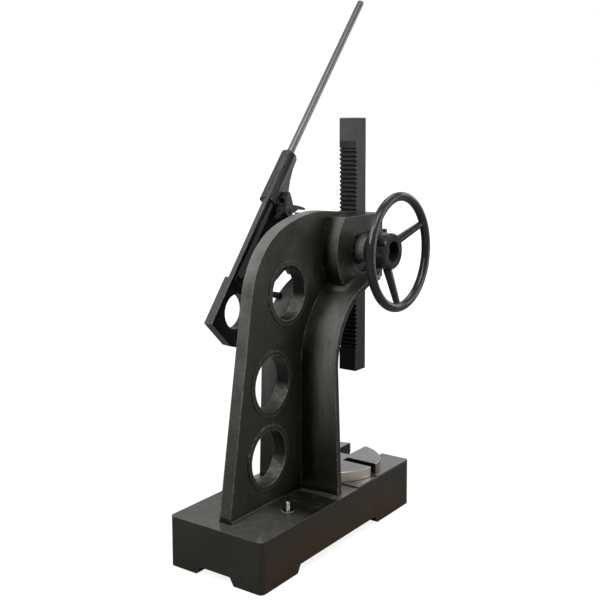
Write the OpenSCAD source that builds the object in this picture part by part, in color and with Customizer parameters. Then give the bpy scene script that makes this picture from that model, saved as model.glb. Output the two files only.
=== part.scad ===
// Manual ratchet press: C-frame casting, rack ram, pinion with handwheel, ratchet lever and turning table.
// Millimetres. Origin: centre of the table's top face. The ram stands over -Y, the column over +Y.

/* [Base] */
// Width of the base, across the press
base_w = 266; // [250:1:320]
// Length of the base, front to back
base_l = 640; // [600:1:770]
// Height of the base up to its machined pad
base_h = 120; // [90:1:160]
// Distance from the front of the base back to the table's centre
table_setback = 160; // [145:1:175]
// Radius of the base's upright corners
base_corner_r = 12; // [8:1:30]
// Radius along the base's top edges
base_edge_r = 4; // [2:0.5:8]
// Height of the machined pad above the painted top
pad_step = 3; // [1:0.5:6]
// Length of the machined pad, back from the front edge
pad_l = 252; // [235:1:260]
// Width of the shallow groove across the pad
groove_w = 9.5; // [2:0.5:12]
// Distance of the groove ahead of or behind the table's centre
groove_y = 1; // [-10:1:12]
// Width of the U slot between the two front prongs
slot_w = 106; // [80:1:112]
// Height of the four feet
foot_h = 18; // [10:1:30]
// Length of the rear feet along the base
foot_l = 132; // [90:1:160]
// Length of the front feet along the base
foot_front_l = 162; // [90:1:180]
// Width of each foot across the base
foot_w = 80; // [60:1:95]
// Slope run at the side of each foot
foot_run = 10; // [4:1:16]

/* [Column] */
// Thickness of the column's web
web_t = 32; // [24:1:44]
// Distance of the web's rear edge behind the table's centre, at the base
web_rear = 444; // [420:1:460]
// Height of the web's crest above the table
crest_z = 648; // [645:1:665]
// Radius of the web's crest
crest_r = 425; // [360:5:440]
// Radius of the web's rear shoulder
shoulder_r = 195; // [170:5:220]
// Turn of the crest arc before the shoulder starts, in degrees
crest_turn = 20; // [20:0.2:28]
// Turn of the shoulder arc, in degrees
shoulder_turn = 60; // [54:0.2:60]
// Diameter of the lightening holes
light_d = 130; // [100:1:134]
// Height of the raised rim around each lightening hole
rim_h = 3; // [1:0.5:5]
// Width of the raised rim around each lightening hole
rim_w = 13; // [8:0.5:16]
// Height of the bottom lightening hole above the table
light_z1 = 86; // [84:1:96]
// Height of the middle lightening hole
light_z2 = 259; // [250:1:265]
// Height of the top lightening hole
light_z3 = 464; // [455:1:470]
// Depth of the throat, from the ram's axis back to the throat wall
throat = 236; // [232:1:246]
// Radius of the throat
throat_r = 185; // [170:1:190]
// Thickness of the throat wall at its edges
wall_t = 14; // [10:0.5:18]
// Extra thickness of the throat wall where it meets the web
wall_swell = 10; // [6:0.5:16]
// Half width of the throat wall at the base
wall_foot_w = 120; // [112:1:128]
// Half width of the throat wall at the throat's spring
wall_top_w = 110; // [100:1:118]

/* [Head] */
// Half width of the head
head_w = 63; // [58:1:70]
// Height of the head, jaw to top
head_h = 168; // [160:1:176]
// Radius of the head's drum around the pinion
drum_r = 124; // [116:1:130]
// Thickness of the ram cover
cover_t = 25; // [18:1:30]
// Gap between the ram cover and the head's face
cover_gap = 2; // [1:0.5:3]
// Diameter of the left boss
boss_l_d = 66; // [64:1:80]
// Reach of the left boss from the centre plane
boss_l_x = 81; // [78:1:90]
// Diameter of the right boss
boss_r_d = 78; // [70:1:90]
// Reach of the right boss from the centre plane
boss_r_x = 112; // [108:1:120]
// Radius of the shallow recess around the left boss
recess_r = 58; // [50:1:60]
// Depth of the shallow recess around the left boss
recess_depth = 8; // [4:1:10]

/* [Ram] */
// Side of the square ram
ram_w = 50; // [48:1:56]
// Length of the ram
ram_l = 661; // [640:1:700]
// Daylight between the table and the ram's nose at rest
daylight = 217; // [212:1:221]
// Plain length below the rack
ram_plain_low = 52; // [45:1:60]
// Plain length above the rack
ram_plain_top = 68; // [60:1:80]
// Distance of the ram's axis ahead of the table's centre
ram_setback = 87; // [80:1:92]

/* [Drive] */
// Module of the rack and pinion
gear_m = 3.63; // [3:0.01:4.4]
// Pressure angle of the rack, in degrees
pressure = 20; // [18:1:22]
// Backlash at the pitch line
backlash = 0.5; // [0.3:0.05:0.8]
// Diameter of the pinion shaft's journals
journal_d = 45; // [41:0.5:54]
// Diameter of the shaft's keyed ends
shaft_end_d = 40; // [36:0.5:40]
// Wall of the pinion bushes
bush_wall = 3.5; // [3:0.25:6]
// Running clearance on the radius
running = 0.05; // [0.03:0.01:0.09]

/* [Handwheel] */
// Outer diameter of the handwheel
wheel_d = 300; // [260:5:320]
// Diameter of the rim's section
rim_d = 23; // [18:1:26]
// Distance of the rim's plane from the centre plane
rim_x = 166; // [160:1:176]
// Diameter of the handwheel's hub
hub_d = 92; // [84:1:100]
// Distance of the hub's outer face from the centre plane
hub_face_x = 149; // [145:1:155]
// Diameter of the counterbore in the hub
hub_recess_d = 54; // [48:1:60]
// Depth of the counterbore in the hub
hub_recess = 28; // [22:1:34]
// Radius of the spokes at the hub
spoke_r = 12; // [9:0.5:14]
// Radius of the spokes at the rim
spoke_tip_r = 8; // [6:0.5:10]
// Angle of the first spoke above the front, in degrees
spoke_angle = 28; // [0:1:60]

/* [Ratchet] */
// Outer radius of the ratchet wheel
ratchet_r = 86; // [71:1:88]
// Depth of the ratchet teeth
ratchet_depth = 6; // [5:0.5:8]
// Face width of the ratchet wheel
ratchet_w = 20; // [16:1:24]
// Distance of the pawl's pin from the pinion's axis
pawl_pin_r = 116; // [114:0.5:118]
// Angle of the pawl's pin above the rear, in degrees
pawl_pin_a = 54.4; // [53:0.1:56]
// Length of the pawl from pin to tip
pawl_l = 84.6; // [83:0.2:86]
// Rest angle of the pawl, in degrees
pawl_rest = 182.2; // [181.5:0.1:183]
// Swing of the pawl down into the teeth, in degrees
pawl_swing = 7.9; // [7.5:0.1:8.3]

/* [Lever] */
// Distance of the lever's inner face from the centre plane
lever_x = 150; // [148:1:156]
// Thickness of the lever's flanges
lever_t = 14; // [12:0.5:18]
// Thickness of the lever's web
lever_web_t = 7; // [5:0.5:9]
// Thickness of the lever's tail block
tail_t = 25; // [20:1:30]
// Distance of the bar's axis behind the pivot
bar_w = 159; // [150:1:165]
// Diameter of the lever bar
bar_d = 19; // [16:0.5:24]
// Height of the bar's tip above the pivot, along the lever
bar_tip = 742; // [650:1:800]
// Diameter of the bar's socket
socket_d = 42; // [36:1:46]
// Diameter of the hole in the tail
tail_hole_d = 87; // [70:1:90]

/* [Table] */
// Diameter of the table
table_d = 239; // [220:1:244]
// Thickness of the table
table_t = 26; // [22:1:30]
// Width of the front slot
slot_front = 48; // [40:1:52]
// Width of the right slot
slot_right = 36; // [30:1:40]
// Width of the rear slot
slot_rear = 18; // [12:1:24]
// Width of the left slot
slot_left = 25; // [20:1:30]
// Distance of the slots' inner ends from the centre
slot_in = 34; // [30:1:45]
// Diameter of the table's centre pin
pin_d = 20; // [16:1:24]

/* [Hidden] */
$fn = 96;

// Levels and places
fit = 0.1;
floor_z = -table_t - base_h;
base_top = -table_t - pad_step;
front_y = -table_setback;
rear_y = base_l - table_setback;
ram_y = -ram_setback;
ram_front = ram_y - ram_w / 2;
ram_rear = ram_y + ram_w / 2;
ram_top = daylight + ram_l;
jaw_z = 464;
pin_z = jaw_z + 80;
head_top = jaw_z + head_h;
head_front = ram_front - running + cover_gap;
cover_back = ram_front - running;
cover_front = cover_back - cover_t;
throat_y = ram_y + throat;
throat_cy = throat_y - throat_r;
throat_cz = jaw_z - throat_r;

// Rack and pinion
pinion_n = 12;
rack_add = 0.7 * gear_m;
rack_depth = rack_add + 1.25 * gear_m;
pitch_r = gear_m * pinion_n / 2;
pitch = PI * gear_m;
pin_y = ram_rear - rack_add + pitch_r;
// The bores pass the pinion in from one side, and leave each bush its wall
bush_d = max(journal_d + 2 * bush_wall, 2 * (pitch_r + gear_m) + 1);
pinion_x = ram_w / 2 + 2;

// Pieces along the pinion shaft, left is -X
ratchet_n = 24;
lever_bush_d = 50;
hub_in_x = boss_l_x + 1.3;
hub_floor_x = hub_face_x - hub_recess;
ratchet_x = boss_r_x + 2;
tooth_x = ratchet_x + 17;
ratchet_out = tooth_x + ratchet_w + 1;
lever_hub_x = ratchet_out + 1;
lever_hub_out = 188;
key_w = 12;
key_h = 8;
washer_t = 5;
bolt_d = 12;

// Lever places, in its own frame: y is behind the pivot and z along the bar
lever_tilt = 39.4;
lever_out = lever_x + lever_t;
bar_x = lever_out + 1;
socket_low = 25;
socket_top = 178;
tail_hole = [106, -273];
stop_d = 16;
stop_x = 93;
stop_gap = 0.3;
stop_a = 47;
ear_x = 122;
ear_t = 8;
pawl_x = ear_x + ear_t + 2;
pawl_w = 18;

// Places of the screws
cover_screw_x = 46;
cover_screw_z = [jaw_z + 20, head_top - 20];
jack_x = 50;
jack_z = [pin_z - 28, pin_z + 36];
jack_d = 10;
stud_x = 69;
stud_y = 299;
stud_d = 10;
stud_root_d = 12;
stud_sink = 5;
light_at = [[302, light_z1], [287, light_z2], [220, light_z3]];

// ---------- helpers ----------

// A plate standing across X, from x0 to x1, drawn in Y and Z
module slab(x0, x1) {
    translate([x0, 0, 0]) rotate([90, 0, 90]) linear_extrude(x1 - x0) children();
}

// A rod along X, from x0 to x1, at y and z
module rod(x0, x1, d, y = 0, z = 0) {
    translate([x0, y, z]) rotate([0, 90, 0]) cylinder(d = d, h = x1 - x0);
}

// A rod along Y towards the front, from y0 down to y1, at x and z
module bore_y(y0, y1, d, x = 0, z = 0) {
    translate([x, y0, z]) rotate([90, 0, 0]) cylinder(d = d, h = y0 - y1);
}

// A square with four rounded corners
module round_rect(w, l, r) {
    translate([r, 0]) square([w - 2 * r, l]);
    translate([0, r]) square([w, l - 2 * r]);
    for (x = [r, w - r], y = [r, l - r]) translate([x, y]) circle(r);
}

// A square with only its top two corners rounded
module arch_rect(w, h, r) {
    square([w, h - r]);
    translate([r, 0]) square([w - 2 * r, h]);
    for (x = [r, w - r]) translate([x, h - r]) circle(r);
}

// Points on an arc of radius r about c, from angle a0 to a1
function arc(c, r, a0, a1, n = 16) =
    [for (i = [0 : n]) let (a = a0 + (a1 - a0) * i / n) c + r * [cos(a), sin(a)]];

// A socket head screw standing on Z: its head's top at 0, its shank down to -l
module cap_screw(d, l) {
    difference() {
        union() {
            translate([0, 0, -d]) cylinder(d = 1.5 * d, h = d);
            translate([0, 0, -l]) cylinder(d = d, h = l - d / 2);
        }
        translate([0, 0, -d / 2]) cylinder(d = d, h = d, $fn = 6);
    }
}

// A parallel key lying along X on top of a shaft of diameter d
module shaft_key(x0, x1, d, clear = 0) {
    translate([x0 - clear, pin_y - key_w / 2 - clear, pin_z + d / 2 - key_h / 2 - clear])
        cube([x1 - x0 + 2 * clear, key_w + 2 * clear, key_h + 2 * clear]);
}

// The washer and screw that close one end of the shaft
module end_washer(d) {
    difference() {
        cylinder(d = d, h = washer_t);
        translate([0, 0, -1]) cylinder(d = bolt_d + 1, h = washer_t + 2);
    }
}

module end_bolt() {
    head_h6 = 8;
    translate([0, 0, washer_t]) cylinder(d = 20.8, h = head_h6, $fn = 6);
    translate([0, 0, -24]) cylinder(d = bolt_d, h = washer_t + 25);
}

// ---------- frame casting ----------

module base_block() {
    difference() {
        intersection() {
            translate([-base_w / 2, front_y, floor_z]) linear_extrude(base_h)
                round_rect(base_w, base_l, base_corner_r);
            translate([-base_w / 2, rear_y + 1, floor_z]) rotate([90, 0, 0]) linear_extrude(base_l + 2)
                arch_rect(base_w, base_h, base_edge_r);
            translate([0, front_y, floor_z]) slab(-base_w, base_w) arch_rect(base_l, base_h, base_edge_r);
        }
        translate([-base_w, front_y + pad_l, base_top]) cube([2 * base_w, base_l, base_h]);
    }
}

// Cross channels that leave four feet with sloping sides
module foot_channels() {
    low_y = front_y + foot_front_l;
    high_y = rear_y - foot_l;
    for (turn = [0, 90]) translate([0, turn == 0 ? (front_y + rear_y) / 2 : (low_y + high_y) / 2, floor_z])
        rotate([90, 0, turn]) linear_extrude(2 * base_l, center = true) {
            half = turn == 0 ? base_w / 2 - foot_w : (high_y - low_y) / 2;
            polygon([[-half - 2, -2], [half + 2, -2], [half - foot_run, foot_h], [foot_run - half, foot_h]]);
        }
}

// The web's outline: straight rear edge, shoulder, crest and the dip down to the ram
module web_outline() {
    turn = crest_turn + shoulder_turn;
    crest_c = [86, crest_z - crest_r];
    shoulder_c = crest_c + (crest_r - shoulder_r) * [sin(crest_turn), cos(crest_turn)];
    nose_r = 30;
    nose_c = [ram_rear + 12 + nose_r, head_top - nose_r + 8];
    polygon(concat(
        [[throat_y + wall_t / 2, base_top - 5], [web_rear, base_top - 5], [web_rear, base_top]],
        arc(shoulder_c, shoulder_r, 90 - turn, 90 - crest_turn, 20),
        arc(crest_c, crest_r, 90 - crest_turn, 96, 24),
        arc(nose_c, nose_r, 100, 180, 8),
        [[ram_rear + 12, jaw_z + wall_t / 2]],
        arc([throat_cy, throat_cz], throat_r + wall_t / 2, 90, 0, 24)));
}

// The throat wall's section, thin at its edges and swelling towards the web
module wall_section() {
    n = 6;
    xs = [for (i = [-n : n]) wall_foot_w * i / n];
    polygon(concat([[-wall_foot_w, throat_r], [wall_foot_w, throat_r]],
        [for (i = [2 * n : -1 : 0])
            [xs[i], throat_r + wall_t + wall_swell * pow(1 - abs(xs[i]) / wall_foot_w, 2)]]));
}

// Front view and plan of the throat wall, which narrows upwards and then into the head
module wall_front() {
    translate([0, rear_y, 0]) rotate([90, 0, 0]) linear_extrude(base_l * 2)
        polygon([[-wall_foot_w, base_top - 6], [wall_foot_w, base_top - 6], [wall_top_w, throat_cz],
            [wall_top_w, head_top], [-wall_top_w, head_top], [-wall_top_w, throat_cz]]);
}

module wall_plan() {
    mid_y = throat_cy + 0.8 * throat_r;
    mid_w = wall_foot_w - 6;
    reach = mid_y - head_front;
    side = [for (i = [0 : 12]) let (a = 90 * i / 12)
        [head_w + (mid_w - head_w) * sin(a), head_front + reach * (1 - cos(a))]];
    translate([0, 0, base_top - 6]) linear_extrude(head_top)
        polygon(concat(side, [[mid_w + 10, mid_y + 20], [mid_w + 10, rear_y], [-mid_w - 10, rear_y],
            [-mid_w - 10, mid_y + 20]], [for (i = [12 : -1 : 0]) [-side[i][0], side[i][1]]]));
}

// The wall: upright, round the throat, and forward as the jaw under the head
module throat_wall() {
    intersection() {
        union() {
            translate([0, throat_cy, base_top - 5]) linear_extrude(throat_cz - base_top + 5) wall_section();
            translate([0, throat_cy, throat_cz]) rotate([90, 0, 90]) rotate_extrude(angle = 90, $fn = 144)
                mirror([1, -1, 0]) wall_section();
            translate([0, throat_cy, throat_cz]) rotate([90, 0, 0]) linear_extrude(throat_cy - head_front)
                wall_section();
        }
        wall_front();
        wall_plan();
    }
}

module head_block() {
    slab(-head_w, head_w) intersection() {
        union() {
            translate([pin_y, pin_z]) circle(drum_r);
            translate([head_front, jaw_z]) square([pin_y - head_front, head_h]);
        }
        translate([head_front, jaw_z]) square([2 * drum_r + head_h, head_h]);
    }
    rod(-boss_l_x, 0, boss_l_d, pin_y, pin_z);
    rod(0, boss_r_x, boss_r_d, pin_y, pin_z);
    boss_fillet(-1, boss_l_d, recess_depth, 5);
    boss_fillet(1, boss_r_d, 0, 8);
}

// A concave fillet where a boss leaves the head's side, on side -1 or 1
module boss_fillet(side, d, depth, r) {
    translate([side * (head_w - depth), pin_y, pin_z]) rotate([0, side * 90, 0]) rotate_extrude()
        difference() {
            translate([d / 2 - 1, -1]) square([r + 1, r + 1]);
            translate([d / 2 + r, r]) circle(r, $fn = 48);
        }
}

// The shallow recess round the left boss, with a straight top edge
module boss_recess() {
    slab(-head_w - 1, recess_depth - head_w) translate([pin_y, pin_z]) difference() {
        intersection() {
            circle(recess_r);
            translate([-recess_r, -recess_r]) square([2 * recess_r, recess_r + 46]);
        }
        circle(d = boss_l_d + 10);
    }
}

module ram_channel() {
    half = ram_w / 2 + running;
    translate([-half, head_front - 20, jaw_z - 30])
        cube([2 * half, ram_rear + running - head_front + 20, head_h + 90]);
}

module base_slot() {
    translate([0, 0, floor_z - 1]) linear_extrude(base_h + 5) {
        translate([0, ram_y]) circle(d = slot_w);
        translate([-slot_w / 2, front_y - 10]) square([slot_w, ram_y - front_y + 10]);
    }
}

// A raised rim with a chamfered edge around each lightening hole, on both faces of the web
module hole_rims() {
    for (at = light_at) translate([0, at[0], at[1]]) rotate([0, 90, 0]) {
        cylinder(d = light_d + 2 * rim_w, h = web_t + 2 * rim_h - 2, center = true);
        cylinder(d = light_d + 2 * rim_w - 3, h = web_t + 2 * rim_h, center = true);
    }
}

module lightening_holes() {
    for (at = light_at) rod(-web_t, web_t, light_d, at[0], at[1]);
}

// The web's fillets along the base, on both sides
module web_fillets() {
    r = 8;
    translate([0, web_rear - 4, base_top]) rotate([90, 0, 0])
        linear_extrude(web_rear - 4 - throat_y) for (side = [-1, 1]) difference() {
            translate([side * (web_t / 2 + r / 2), r / 2 - 1]) square([r, r + 2], center = true);
            translate([side * (web_t / 2 + r), r]) circle(r, $fn = 48);
        }
}

module frame_holes() {
    rod(-boss_l_x - 1, boss_r_x + 1, bush_d, pin_y, pin_z);
    for (side = [-1, 1]) {
        for (z = cover_screw_z)
            bore_y(head_front + 32, head_front - 1, bolt_d + fit, side * cover_screw_x, z);
        translate([side * stud_x, stud_y, base_top]) {
            translate([0, 0, -30]) cylinder(d = stud_root_d + fit, h = 30);
            translate([0, 0, -stud_sink]) cylinder(d = 19, h = stud_sink + 1);
        }
    }
    translate([0, 0, -table_t - 40]) cylinder(d = pin_d + fit, h = 50);
    translate([-base_w, groove_y, -table_t - 2]) cube([2 * base_w, groove_w, 5]);
}

module frame_casting() {
    color([0.16, 0.16, 0.15]) difference() {
        union() {
            difference() {
                union() {
                    base_block();
                    slab(-web_t / 2, web_t / 2) web_outline();
                    hole_rims();
                    web_fillets();
                }
                lightening_holes();
            }
            throat_wall();
            difference() {
                head_block();
                boss_recess();
            }
        }
        foot_channels();
        base_slot();
        ram_channel();
        frame_holes();
    }
}

// ---------- ram guide ----------

module ram_cover() {
    chamfer = 3;
    color([0.16, 0.16, 0.15]) difference() {
        translate([0, 0, jaw_z]) linear_extrude(head_h) polygon([[-head_w, cover_back], [head_w, cover_back],
            [head_w, cover_front + chamfer], [head_w - chamfer, cover_front], [chamfer - head_w, cover_front],
            [-head_w, cover_front + chamfer]]);
        for (side = [-1, 1]) {
            for (z = cover_screw_z) {
                bore_y(cover_back + 1, cover_front - 1, bolt_d + 1, side * cover_screw_x, z);
                bore_y(cover_front + bolt_d + 1, cover_front - 1, 1.5 * bolt_d + 1, side * cover_screw_x, z);
            }
            for (z = jack_z) bore_y(cover_back + 1, cover_front - 1, jack_d + fit, side * jack_x, z);
        }
    }
}

module cover_screws() {
    color([0.1, 0.1, 0.1]) for (side = [-1, 1], z = cover_screw_z)
        translate([side * cover_screw_x, cover_front + 1, z]) rotate([90, 0, 0])
            cap_screw(bolt_d, cover_t + cover_gap + 25);
}

// Square head screws that set the cover off the head
module jack_screws() {
    head = 12;
    stand = 22;
    color([0.1, 0.1, 0.1]) for (side = [-1, 1], z = jack_z) {
        bore_y(head_front - fit, cover_front - stand - 1, jack_d, side * jack_x, z);
        translate([side * jack_x, cover_front - stand - head / 2, z]) cube(head, center = true);
    }
}

module jack_nuts() {
    nut_t = 8;
    color([0.12, 0.12, 0.12]) for (side = [-1, 1], z = jack_z)
        translate([side * jack_x, cover_front - fit, z]) rotate([90, 0, 0]) difference() {
            cylinder(d = 18.5, h = nut_t, $fn = 6);
            translate([0, 0, -1]) cylinder(d = jack_d + fit, h = nut_t + 2);
        }
}

// ---------- bushes, pin and studs ----------

module bush(x0, x1, outer, inner) {
    color([0.72, 0.52, 0.26]) difference() {
        rod(x0, x1, outer, pin_y, pin_z);
        rod(x0 - 1, x1 + 1, inner, pin_y, pin_z);
    }
}

module bush_left() {
    bush(-boss_l_x, -pinion_x - 1, bush_d, journal_d + 2 * running);
}

module bush_right() {
    bush(pinion_x + 1, boss_r_x, bush_d, journal_d + 2 * running);
}

module table_pin() {
    color([0.6, 0.6, 0.6]) translate([0, 0, -table_t - 38]) cylinder(d = pin_d, h = table_t + 38 - 8);
}

module anchor_studs() {
    color([0.8, 0.8, 0.78]) for (side = [-1, 1])
        translate([side * stud_x, stud_y, base_top]) {
            translate([0, 0, -28]) cylinder(d = stud_root_d, h = 28 - stud_sink);
            translate([0, 0, -stud_sink]) cylinder(d = stud_d, h = 18 + stud_sink);
            translate([0, 0, 18]) cylinder(d1 = stud_d, d2 = stud_d - 3, h = 2);
        }
}

// ---------- ram ----------

// The rack's teeth on the ram's rear, as an outline in Y and Z that runs upwards
function rack_teeth(low, high) = let (
        slope = tan(pressure),
        half = pitch / 4 - backlash / 4,
        tip = half - rack_add * slope,
        root = half + (rack_depth - rack_add) * slope,
        first = ceil((low + root - pin_z) / pitch),
        last = floor((high - root - pin_z) / pitch)
    ) [for (k = [first : last]) let (z = pin_z + k * pitch)
        each [[ram_rear - rack_depth, z - root], [ram_rear, z - tip], [ram_rear, z + tip],
            [ram_rear - rack_depth, z + root]]];

module ram() {
    low = daylight + ram_plain_low;
    high = ram_top - ram_plain_top;
    teeth = rack_teeth(low, high);
    first_z = teeth[0][1];
    last_z = teeth[len(teeth) - 1][1];
    chamfer = 2;
    color([0.2, 0.2, 0.2]) intersection() {
        slab(-ram_w / 2, ram_w / 2) polygon(concat(
            [[ram_front + chamfer, daylight], [ram_rear - chamfer, daylight], [ram_rear, daylight + chamfer],
                [ram_rear, first_z - 1.5], [ram_rear - rack_depth, first_z - 1]],
            teeth,
            [[ram_rear - rack_depth, last_z + 1], [ram_rear, last_z + 1.5], [ram_rear, ram_top - chamfer],
                [ram_rear - chamfer, ram_top], [ram_front + chamfer, ram_top], [ram_front, ram_top - chamfer],
                [ram_front, daylight + chamfer]]));
        translate([0, 0, daylight - 1]) linear_extrude(ram_l + 2) translate([-ram_w / 2, ram_front])
            polygon([[1, 0], [ram_w - 1, 0], [ram_w, 1], [ram_w, ram_w - 1], [ram_w - 1, ram_w],
                [1, ram_w], [0, ram_w - 1], [0, 1]]);
    }
}

// ---------- pinion shaft ----------

// Half angle of a pinion tooth at radius r, from the involute
function involute(a) = tan(a) * 180 / PI - a;
function half_tooth(r) = let (base = pitch_r * cos(pressure), a = acos(min(1, base / r)))
    (90 / pinion_n) - (backlash / 4 / pitch_r) * 180 / PI + involute(pressure) - involute(a);

module pinion_profile() {
    base = pitch_r * cos(pressure);
    tip = pitch_r + gear_m;
    root = pitch_r - rack_add - 1.4;
    rs = [for (i = [0 : 5]) base + (tip - base) * i / 5];
    polygon([for (k = [0 : pinion_n - 1]) let (c = (k + 0.5) * 360 / pinion_n) each concat(
        [root * [cos(c - half_tooth(base) - 0.5), sin(c - half_tooth(base) - 0.5)]],
        [for (r = rs) r * [cos(c - half_tooth(r)), sin(c - half_tooth(r))]],
        [for (i = [5 : -1 : 0]) let (r = rs[i]) r * [cos(c + half_tooth(r)), sin(c + half_tooth(r))]],
        [root * [cos(c + half_tooth(base) + 0.5), sin(c + half_tooth(base) + 0.5)]])]);
}

module pinion_shaft() {
    color([0.45, 0.45, 0.44]) difference() {
        union() {
            translate([0, pin_y, pin_z]) slab(-pinion_x, pinion_x) pinion_profile();
            for (side = [-1, 1])
                rod(side > 0 ? pinion_x - 1 : -hub_in_x, side > 0 ? ratchet_x : 1 - pinion_x, journal_d,
                    pin_y, pin_z);
            rod(0.5 - hub_floor_x, -pinion_x, shaft_end_d, pin_y, pin_z);
            rod(pinion_x, lever_hub_out - 0.5, shaft_end_d, pin_y, pin_z);
        }
        shaft_key(-hub_floor_x + 8, -hub_in_x - 6, shaft_end_d);
        shaft_key(ratchet_x + 3, ratchet_out - 3, shaft_end_d);
        rod(-hub_floor_x, 28 - hub_floor_x, bolt_d + fit, pin_y, pin_z);
        rod(lever_hub_out - 28, lever_hub_out, bolt_d + fit, pin_y, pin_z);
    }
}

// ---------- handwheel ----------

module handwheel() {
    rim_r = (wheel_d - rim_d) / 2;
    hub_mid = (hub_in_x + hub_face_x) / 2 + 8;
    dish = atan((rim_x - hub_mid) / (rim_r - 20));
    color([0.1, 0.1, 0.1]) difference() {
        translate([0, pin_y, pin_z]) {
            translate([-rim_x, 0, 0]) rotate([0, 90, 0]) rotate_extrude() translate([rim_r, 0]) circle(d = rim_d);
            rotate([0, -90, 0]) rotate_extrude() polygon([[shaft_end_d / 4, hub_in_x],
                [hub_d / 2 - 10, hub_in_x], [hub_d / 2 - 6, hub_in_x + 4], [hub_d / 2, hub_in_x + 26],
                [hub_d / 2, hub_face_x - 4], [hub_d / 2 - 3, hub_face_x], [shaft_end_d / 4, hub_face_x]]);
            for (k = [0 : 2]) rotate([180 - spoke_angle - 120 * k, 0, 0]) translate([-hub_mid, 20, 0])
                rotate([-90, 0, dish]) cylinder(r1 = spoke_r, r2 = spoke_tip_r, h = (rim_r - 20) / cos(dish));
        }
        rod(-hub_face_x - 40, -hub_floor_x, hub_recess_d, pin_y, pin_z);
        rod(-hub_face_x, -hub_in_x + 1, shaft_end_d + fit, pin_y, pin_z);
        shaft_key(-hub_floor_x + 8, -hub_in_x - 6, shaft_end_d, fit / 2);
        translate([-hub_floor_x, pin_y - key_w / 2 - fit, pin_z])
            cube([hub_recess, key_w + 2 * fit, shaft_end_d / 2 + key_h / 2 + fit]);
    }
}

module handwheel_key() {
    color([0.4, 0.4, 0.4]) shaft_key(-hub_floor_x + 8, -hub_in_x - 6, shaft_end_d, -fit / 2);
}

module handwheel_washer() {
    color([0.5, 0.5, 0.5]) translate([-hub_floor_x - fit, pin_y, pin_z]) rotate([0, -90, 0])
        end_washer(hub_recess_d - 2);
}

module handwheel_bolt() {
    color([0.3, 0.3, 0.3]) translate([-hub_floor_x - 2 * fit, pin_y, pin_z]) rotate([0, -90, 0]) end_bolt();
}

// ---------- ratchet ----------

// Teeth with one steep face each, which the pawl pushes when the lever is pulled down
module ratchet_profile() {
    step = 360 / ratchet_n;
    root_r = ratchet_r - ratchet_depth;
    gap = 0.8;
    polygon([for (k = [0 : ratchet_n - 1]) let (root = tip_angle(root_r) + gap + k * step,
        tip = tip_angle(ratchet_r) + gap + k * step) each [root_r * [cos(root), sin(root)],
        ratchet_r * [cos(tip), sin(tip)], ratchet_r * [cos(tip + 1), sin(tip + 1)]]]);
}

// The pawl's pin, from the pinion's axis
function pawl_at() = pawl_pin_r * [cos(pawl_pin_a), sin(pawl_pin_a)];

// Where the pawl's tip crosses radius r on its own arc, as an angle about the pinion's axis
function tip_angle(r) = let (
        turn = acos((r * r - pawl_pin_r * pawl_pin_r - pawl_l * pawl_l) / (2 * pawl_pin_r * pawl_l)),
        at = pawl_at() + pawl_l * [cos(pawl_pin_a + turn), sin(pawl_pin_a + turn)]
    ) atan2(at[1], at[0]);

module ratchet_wheel() {
    color([0.3, 0.3, 0.3]) difference() {
        translate([0, pin_y, pin_z]) {
            slab(tooth_x, tooth_x + ratchet_w) ratchet_profile();
            rod(ratchet_x, ratchet_out, 72);
        }
        rod(ratchet_x - 1, ratchet_out + 1, shaft_end_d + fit, pin_y, pin_z);
        translate([ratchet_x - 1, pin_y - key_w / 2 - fit, pin_z])
            cube([ratchet_out - ratchet_x + 2, key_w + 2 * fit, shaft_end_d / 2 + key_h / 2 + fit]);
    }
}

module ratchet_key() {
    color([0.4, 0.4, 0.4]) shaft_key(ratchet_x + 3, ratchet_out - 3, shaft_end_d, -fit / 2);
}

module shaft_washer() {
    color([0.5, 0.5, 0.5]) translate([lever_hub_out + 0.3, pin_y, pin_z]) rotate([0, 90, 0]) end_washer(58);
}

module shaft_bolt() {
    color([0.3, 0.3, 0.3]) translate([lever_hub_out + 0.3 + fit, pin_y, pin_z]) rotate([0, 90, 0]) end_bolt();
}

// ---------- lever ----------

// The lever's own frame: Y behind the pivot, Z along the bar
module lever_frame() {
    translate([0, pin_y, pin_z]) rotate([lever_tilt, 0, 0]) children();
}

// A place given from the pivot in Y and Z, in the lever's own frame
function on_lever(p) = [p[0] * cos(lever_tilt) + p[1] * sin(lever_tilt),
    p[1] * cos(lever_tilt) - p[0] * sin(lever_tilt)];

// The stop pin lies on the back of the throat wall
function stop_at() = let (
        swell = wall_swell * pow(1 - stop_x / wall_foot_w, 2),
        reach = throat_r + wall_t + swell + stop_d / 2 + stop_gap
    ) on_lever([throat_cy - pin_y, throat_cz - pin_z] + reach * [cos(stop_a), sin(stop_a)]);

// The casting's rear edge at height z: it closes in a little towards the tail
function rear_edge(z) = bar_w + socket_d / 2 + 1 + (z - socket_top) * 0.027;

tail_low = -345;
tail_top = -213;
lever_hub_r = 42;

module lever_outline() {
    polygon([[rear_edge(socket_top), socket_top], [bar_w - 19, socket_top], [bar_w - 22, 146], [128, 115], [117, 92],
        [104, 76], [88, 60], [60, 44], [20, lever_hub_r - 5], [-lever_hub_r + 16, -26], [20, -160], [34, tail_top - 20],
        [45, tail_low + 3], [73, tail_low - 7], [rear_edge(tail_low), tail_low]]);
}

// A strip of the given width along the rear edge
module rear_strip(low, high, w) {
    polygon([[rear_edge(high), high], [rear_edge(high) - w, high], [rear_edge(low) - w, low], [rear_edge(low), low]]);
}

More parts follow.
